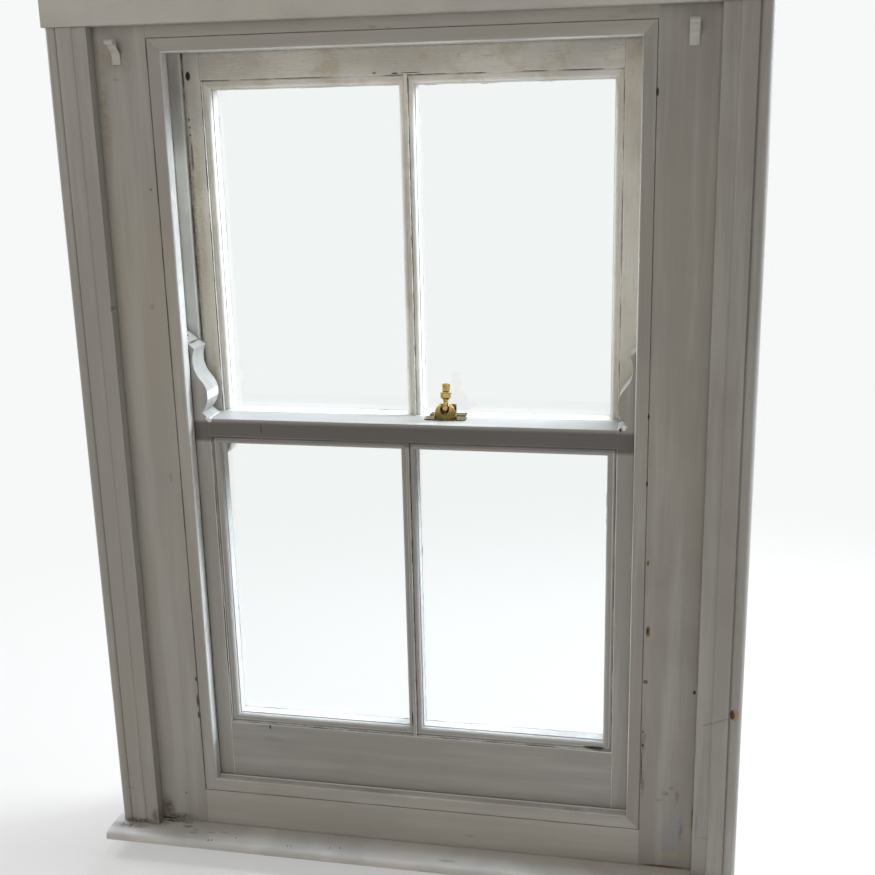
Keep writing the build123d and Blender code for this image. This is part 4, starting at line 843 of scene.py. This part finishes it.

# Stains and chips, and a few marks of painted light and shade. Each row is a tint, its share, how far it
# stands
# proud, how ragged it is, and its marks: a centre and three half sizes each, all in millimetres.
HOLE, WOOD, FILLER, GRIME, SOIL = "#1E1914", "#5A4227", "#868B8F", "#6C665B", "#4A4033"
ROOM, FRONT, PANE_SIDE, TRIM, BOARD, BEAD = -72.5, -50.5, 5.5, -92, 38, 120     # the planes they lie in
left_stains = [
    ("#8A7C64", 0.7, 0.0, 9, [((-404, ROOM, 1262), (30, 3, 26)), ((-425, ROOM, 1180), (7, 3, 90))]),
    (WOOD, 0.8, -1.5, 1.5, [((-365, ROOM, 1077), (1.6, 3, 2.4)), ((-390, ROOM, 90), (1.8, 3, 1.8))]),
    (GRIME, 0.55, 0.0, 3, [
        ((-378, ROOM, 905), (3.5, 3, 7)), ((-404, ROOM, 1231), (8, 3, 1.8)),
        ((-371, ROOM, 640), (3, 3, 9)), ((-432, ROOM, 58), (5, 6, 18)),
    ]),
    (SOIL, 0.9, -0.3, 6, [((-408, ROOM, 44), (34, 6, 8)), ((-424, ROOM, 60), (12, 6, 22))]),
    (HOLE, 0.9, -1.5, 2, [((-357, ROOM, z), (1.8, 8, h)) for z, h in ((262, 12), (236, 7), (300, 4))] + [
        ((-425, ROOM, 39), (16, 8, 1.8)),
    ]),
]
right_stains = [
    (FILLER, 0.85, 0.5, 10, [((404, ROOM, 88), (26, 3, 34)), ((414, ROOM, 112), (14, 3, 30))]),
    ("#A89B7C", 0.75, 0.0, 8, [((404, ROOM, 60), (26, 3, 7)), ((428, ROOM, 110), (6, 3, 45))]),
    (GRIME, 0.85, -0.3, 6, [
        ((384, ROOM, 155), (6, 3, 3)), ((393, ROOM, 166), (6, 3, 4)), ((402, ROOM, 176), (5, 3, 4)),
        ((411, ROOM, 162), (3, 3, 12)), ((417, ROOM, 104), (3.0, 3, 24)), ((436, ROOM, 132), (3, 12, 30)),
        ((358, ROOM, 250), (4, 3, 26)), ((359, ROOM, 180), (3, 3, 26)),
    ]),
    ("#A0937A", 0.8, -0.6, 2.8, [((364.5, ROOM, 429), (5.5, 6, 15)), ((360, ROOM, 539), (3.5, 6, 7))]),
    (WOOD, 0.9, -1.6, 2.5, [
        ((361, ROOM, 432), (3.2, 8, 9)), ((358.6, ROOM, 539), (2.2, 8, 4)),
        ((359.5, ROOM, 351), (3.6, 8, 3.2)), ((395, ROOM, 40), (36, 8, 1.8)),
    ]),
    (HOLE, 1.0, -2.5, 1.5, [
        ((357.6, ROOM, 268), (1.2, 8, 1.92)), ((357.6, ROOM, 245), (1.7, 8, 2.72)),
        ((354.4, ROOM, 757), (1.4, 8, 4.5)), ((354.4, ROOM, 659), (1.4, 8, 4.5)),
        ((355.5, ROOM, 1195), (2.0, 8, 6)), ((431, -76, 339), (2.4, 20, 3.4)),
        ((360.6, ROOM, 433), (1.6, 8, 5)), ((435.2, -78, 128), (1.5, 12, 25)),
        ((356.5, ROOM, 205), (0.7, 8, 33)),
    ]),
]
rust_stains = [
    ("#9B7B4C", 0.8, 0.3, 2.5, [((489, TRIM, 317), (6.5, 30, 10))]),
    ("#3A2412", 1.0, -2.0, 2.5, [((485.5, TRIM, 317), (3.6, 30, 8))]),
    (GRIME, 0.6, -0.5, 0.8, [((447 + 4.5 * i, TRIM, 296 + 2 * i), (4, 30, 1.0)) for i in range(8)]),
    (GRIME, 0.5, -0.3, 3, [
        ((440, -85, 128), (3, 20, 26)), ((452, -88, 108), (8, 20, 2)), ((470, TRIM, 42), (30, 30, 4)),
    ]),
]
scratch_stains = [
    (GRIME, 0.7, -0.5, 1.5, [((-479, TRIM, 102), (7, 30, 1.1)), ((-436, -85, 905), (1.2, 20, 6))]),
    (SOIL, 0.9, -0.5, 5, [((-467, TRIM, 42), (36, 30, 5)), ((-440, -85, 52), (8, 20, 14))]),
]
head_stains = [
    ("#8A7656", 0.6, -0.4, 3, [((-26, ROOM, 1289), (7, 6, 2)), ((-4, ROOM, 1287), (5, 6, 2))]),
    (GRIME, 0.4, 0.0, 6, [((330, ROOM, 1296), (34, 6, 4)), ((300, ROOM, 1290), (12, 6, 2))]),
]
sill_stains = [
    # Painted highlight: a near-white strip along the top inner edge of the sill staff bead.
    ("#FFFDF8", 0.9, 0.3, 0.6, [((0, -53.4, BEAD), (2000, 2.6, 2.6))]),
    (GRIME, 0.45, 0.0, 4, [
        ((-60, -64, BEAD), (26, 5, 3)), ((250, -64, BEAD), (18, 4, 3)), ((90, ROOM, 60), (12, 3, 3)),
    ]),
]
board_stains = [
    (SOIL, 1.0, -0.4, 7, [
        ((-440, -84, BOARD), (24, 12, 3)), ((-418, -77, BOARD), (48, 6, 3)),
        ((-485, -102, BOARD), (34, 9, 3)), ((-385, -90, BOARD), (9, 3, 3)),
    ]),
    (HOLE, 0.95, -2.5, 1.0, [
        ((x, y, BOARD), (r, r, 3)) for x, y, r in (
            (-336, -121, 1.7), (-330, -120, 1.6), (-293, -108, 1.4), (-203, -115, 1.5), (-197, -114, 1.3),
            (-133, -109, 1.5), (-117, -106.5, 1.6),
        )
    ]),
    (GRIME, 0.9, -0.3, 3, [
        ((-368, -105, BOARD), (7, 3, 3)), ((-368, -97, BOARD), (5, 2, 3)),
        ((-340, -100, BOARD), (10, 1.5, 3)), ((-316, -97, BOARD), (9, 2, 3)),
        ((60, -112, BOARD), (14, 2, 3)),
    ]),
    ("#D8D6CF", 0.5, 0.8, 4, [
        ((-240, -95, BOARD), (9, 3, 3)), ((-160, -100, BOARD), (8, 4, 3)), ((60, -96, BOARD), (12, 3, 3)),
    ]),
]
lower_stains = [
    # Painted shade: a dark band across the meeting rail's room face.
    ("#46423F", 0.8, 0.0, 1, [((0, FRONT, 711), (2000, 14, 17))]),
    (GRIME, 0.35, 0.0, 5, [((-238, FRONT, 190), (14, 3, 5)), ((-250, FRONT, 212), (16, 3, 2.5))]),
    (HOLE, 0.95, -2.0, 1.2, [
        ((-243.5, FRONT, 212.5), (1.6, 3, 4.2)), ((-227.4, FRONT, 716.5), (0.9, 3, 8)),
        # The second mark on this line is painted shadow under the right pane's bottom moulding; the first is
        # a crack.
        ((-4.2, FRONT, 245), (2.0, 9, 15)), ((283, FRONT, 220.5), (20, 12, 2.2)),
        ((314.5, FRONT, 731), (1.7, 3, 3.2)),
    ]),
]
upper_stains = [
    ("#B09C72", 0.5, 0.0, 8, [((-323, PANE_SIDE, 1040), (8, 3, 170)), ((-318, PANE_SIDE, 800), (6, 3, 70))]),
    # Dark brown line beside the parting bead: wood rubbed bare where the sash runs, and painted shadow of the
    # gap.
    ("#75664C", 0.75, 0.0, 4, [
        ((-333.5, PANE_SIDE, 1020), (4.5, 3, 215)), ((-334, PANE_SIDE, 800), (3, 3, 60)),
    ]),
    (WOOD, 0.75, -1.0, 1.5, [((-331, PANE_SIDE, z), (2.0, 3, 1.8)) for z in (1152, 1163, 1174)] + [
        ((-45, PANE_SIDE, 1232.4), (3, 3, 1.6)), ((-330, PANE_SIDE, 1120), (2, 3, 22)),
        ((309, PANE_SIDE, 985), (1.2, 3, 36)),
    ]),
    (HOLE, 1.0, -2.5, 1.2, [
        ((-328, PANE_SIDE, 1236), (4.0, 3, 7.0)), ((-15, PANE_SIDE, 1231.2), (5, 3, 1.1)),
        ((8, PANE_SIDE, 1231.5), (16, 3, 0.6)),
    ]),
]

# One off-white paint, given as lit and shaded copies: darker as painted shade on the room faces of the
# linings, sill, head and lower sash, darker still on the right, and lighter as painted light on the box,
# boards and upper sash.
left_paint, right_paint_shaded, level_paint, sill_paint = "#9B9790", "#8E8A83", "#9F9B94", "#A7A39C"
board_paint, lower_paint_shaded, upper_paint_lit = "#DAD7D0", "#97948F", "#F2EFE7"
box_paint_lit, head_board_paint = "#F0F0EC", "#C3C0B9"

# Painted shade lies in the quirks of the sash mouldings and beside the staff beads, and painted highlights
# lie on their arrises. Each line is an axis, a distance and a half width; a sash moulding's lines are
# measured from its sight edge.
QUIRK, ARRISES = 12.6 * MM, (14.3 * MM, 9.2 * MM, 0.5 * MM)
shoulder_lines = [(X_AXIS, SHOULDER, 0.35 * MM)]
stile_gap_shade = [(X_AXIS, 335.6 * MM, 1.3 * MM)]
quirk_shade = [(X_AXIS, SIGHT + 12.9 * MM, 0.8 * MM), (X_AXIS, 3.1 * MM, 0.6 * MM)]
upright_highlights = [(X_AXIS, SIGHT + away, 0.7 * MM) for away in ARRISES] + [
    (X_AXIS, 2.1 * MM, 0.4 * MM), (X_AXIS, BAR_SIDE - 0.5 * MM, 0.6 * MM),
]
rail_quirk_shade, rail_highlights = [], []
for sight, up in (
    (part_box("lower_bottom_rail")[1].z, -1), (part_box("lower_meeting_rail")[0].z, 1),
    (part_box("upper_top_rail")[0].z, 1),
):
    rail_quirk_shade += [(Z_AXIS, sight + up * QUIRK, 0.9 * MM)]
    rail_highlights += [(Z_AXIS, sight + up * away, 0.7 * MM) for away in ARRISES]


def paint(pieces, name, along, colour, age, **rest):
    """Brushes one paint on several pieces, which are named in one string."""
    dress(painted_softwood(name, along, colour, age, **rest), *pieces.split())


paint("inner_lining_left staff_bead_left", "oil_paint_left", Z_AXIS, left_paint, 0.25,
      beads=0.6, stains=left_stains)
paint("inner_lining_right staff_bead_right", "oil_paint_right", Z_AXIS, right_paint_shaded, 0.15,
      beads=0.2, stains=right_stains, shift=1.0)
paint("architrave_left", "oil_paint_architrave_left", Z_AXIS, left_paint, 0.10,
      stains=scratch_stains, shift=2.0)
paint("architrave_right", "oil_paint_architrave_right", Z_AXIS, right_paint_shaded, 0.05,
      stains=rust_stains, shift=3.0)
paint("parting_beads outer_lining_left outer_lining_right pulley_stile_left pulley_stile_right pocket_pieces",
      "oil_paint_box", Z_AXIS, box_paint_lit, 0.15, shift=4.0)
paint("staff_bead_head inner_lining_head outer_lining_head", "oil_paint_head", X_AXIS, level_paint, 0.20,
      beads=0.15, stains=head_stains, shift=5.0)
paint("sill staff_bead_sill", "oil_paint_sill", X_AXIS, sill_paint, 0.20,
      beads=0.15, stains=sill_stains, shift=5.0)
paint("head_board", "oil_paint_head_board", X_AXIS, head_board_paint, 0.15, shift=6.0)
paint("window_board bed_mould", "oil_paint_boards", X_AXIS, board_paint, 0.15,
      stains=board_stains, shift=6.0)
paint("lower_stile_left lower_stile_right lower_glazing_bar", "oil_paint_lower_upright", Z_AXIS,
      lower_paint_shaded, 0.05, lines=stile_gap_shade + quirk_shade, arrises=upright_highlights, stains=lower_stains, shift=7.0)
paint("lower_bottom_rail lower_meeting_rail", "oil_paint_lower_level", X_AXIS, lower_paint_shaded, 0.10,
      lines=shoulder_lines + rail_quirk_shade, arrises=rail_highlights, stains=lower_stains, shift=8.0)
paint("upper_stile_left upper_stile_right upper_glazing_bar", "oil_paint_upper_upright", Z_AXIS,
      upper_paint_lit, 0.50, worn=0.35, lines=stile_gap_shade + quirk_shade, arrises=upright_highlights,
      stains=upper_stains, shift=9.0)
paint("upper_top_rail upper_meeting_rail", "oil_paint_upper_level", X_AXIS, upper_paint_lit, 0.35,
      worn=0.65, lines=shoulder_lines + rail_quirk_shade, arrises=rail_highlights, stains=upper_stains, shift=10.0)
stray_paint = painted_softwood("oil_paint_stray", Z_AXIS, "#F0EEE9", 0.0)
strap_paint = painted_softwood("oil_paint_strap", Z_AXIS, "#BDBAB4", 0.1, shift=12.0)
dress(strap_paint, "curtain_straps")
putty = linseed_putty()
glass = drawn_glass()
brass = worn_brass()
iron = cast_iron()
steel = turned_steel()
line = cotton_line()

dress(bare_pine("bare_pine_upright", Z_AXIS), "back_linings", "wagtails")
dress(bare_pine("bare_pine_level", X_AXIS), "head")
dress(putty, "lower_putty", "upper_putty")
dress(glass, "lower_panes", "upper_panes")
dress(brass, "fastener_base", "fastener_pivot", "fastener_arm", "fastener_nut", "fastener_screws")
dress(brass, "keeper", "keeper_screws")
dress(iron, "pulley_cases")
dress(steel, "pulley_axles")
for which in ("lower", "upper"):
    for side in SIDES:
        dress(iron, f"pulley_wheel_{which}_{side}", f"weight_{which}_{side}")
        dress(line, f"cord_{which}_{side}")
        make_cord(which, side, line)

make_straps(strap_paint)
make_nib("paint_nib_left", "lower_sash", [
    ((-310, -50.4, 728.6), (3.6, 1.6, 3.6)), ((-313.5, -50.4, 731), (2.8, 1.4, 2.6)),
], stray_paint)
make_nib("paint_nib_right", "lower_sash", [
    ((320, -50.4, 734), (2.8, 1.5, 3.8)), ((322.5, -50.4, 736), (2.2, 1.2, 2.0)),
], stray_paint)
make_nut(brass)
make_thread(brass)
make_screws("fastener_screw_heads", PIVOT.y, "fastener_screws", "lower_sash", brass)
make_screws("keeper_screw_heads", KEEPER_Y, "keeper_screws", "upper_sash", brass)

panes = (
    ("lower", "lower_sash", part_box("lower_bottom_rail")[1].z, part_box("lower_meeting_rail")[0].z),
    ("upper", "upper_sash", MEETING_TOP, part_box("upper_top_rail")[0].z),
)
for number, (which, body, low, high) in enumerate(panes):
    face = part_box(f"{which}_panes")[0].y
    for side, sign in SIDES.items():
        x0, x1 = sorted((sign * BAR_SIDE, sign * SIGHT))
        seed = 11 + 2 * number + (sign > 0)
        make_paint_edge(f"stray_paint_{which}_{side}", body, x0, x1, low, high, face, stray_paint, seed)

bpy.context.scene.view_settings.view_transform = "Standard"
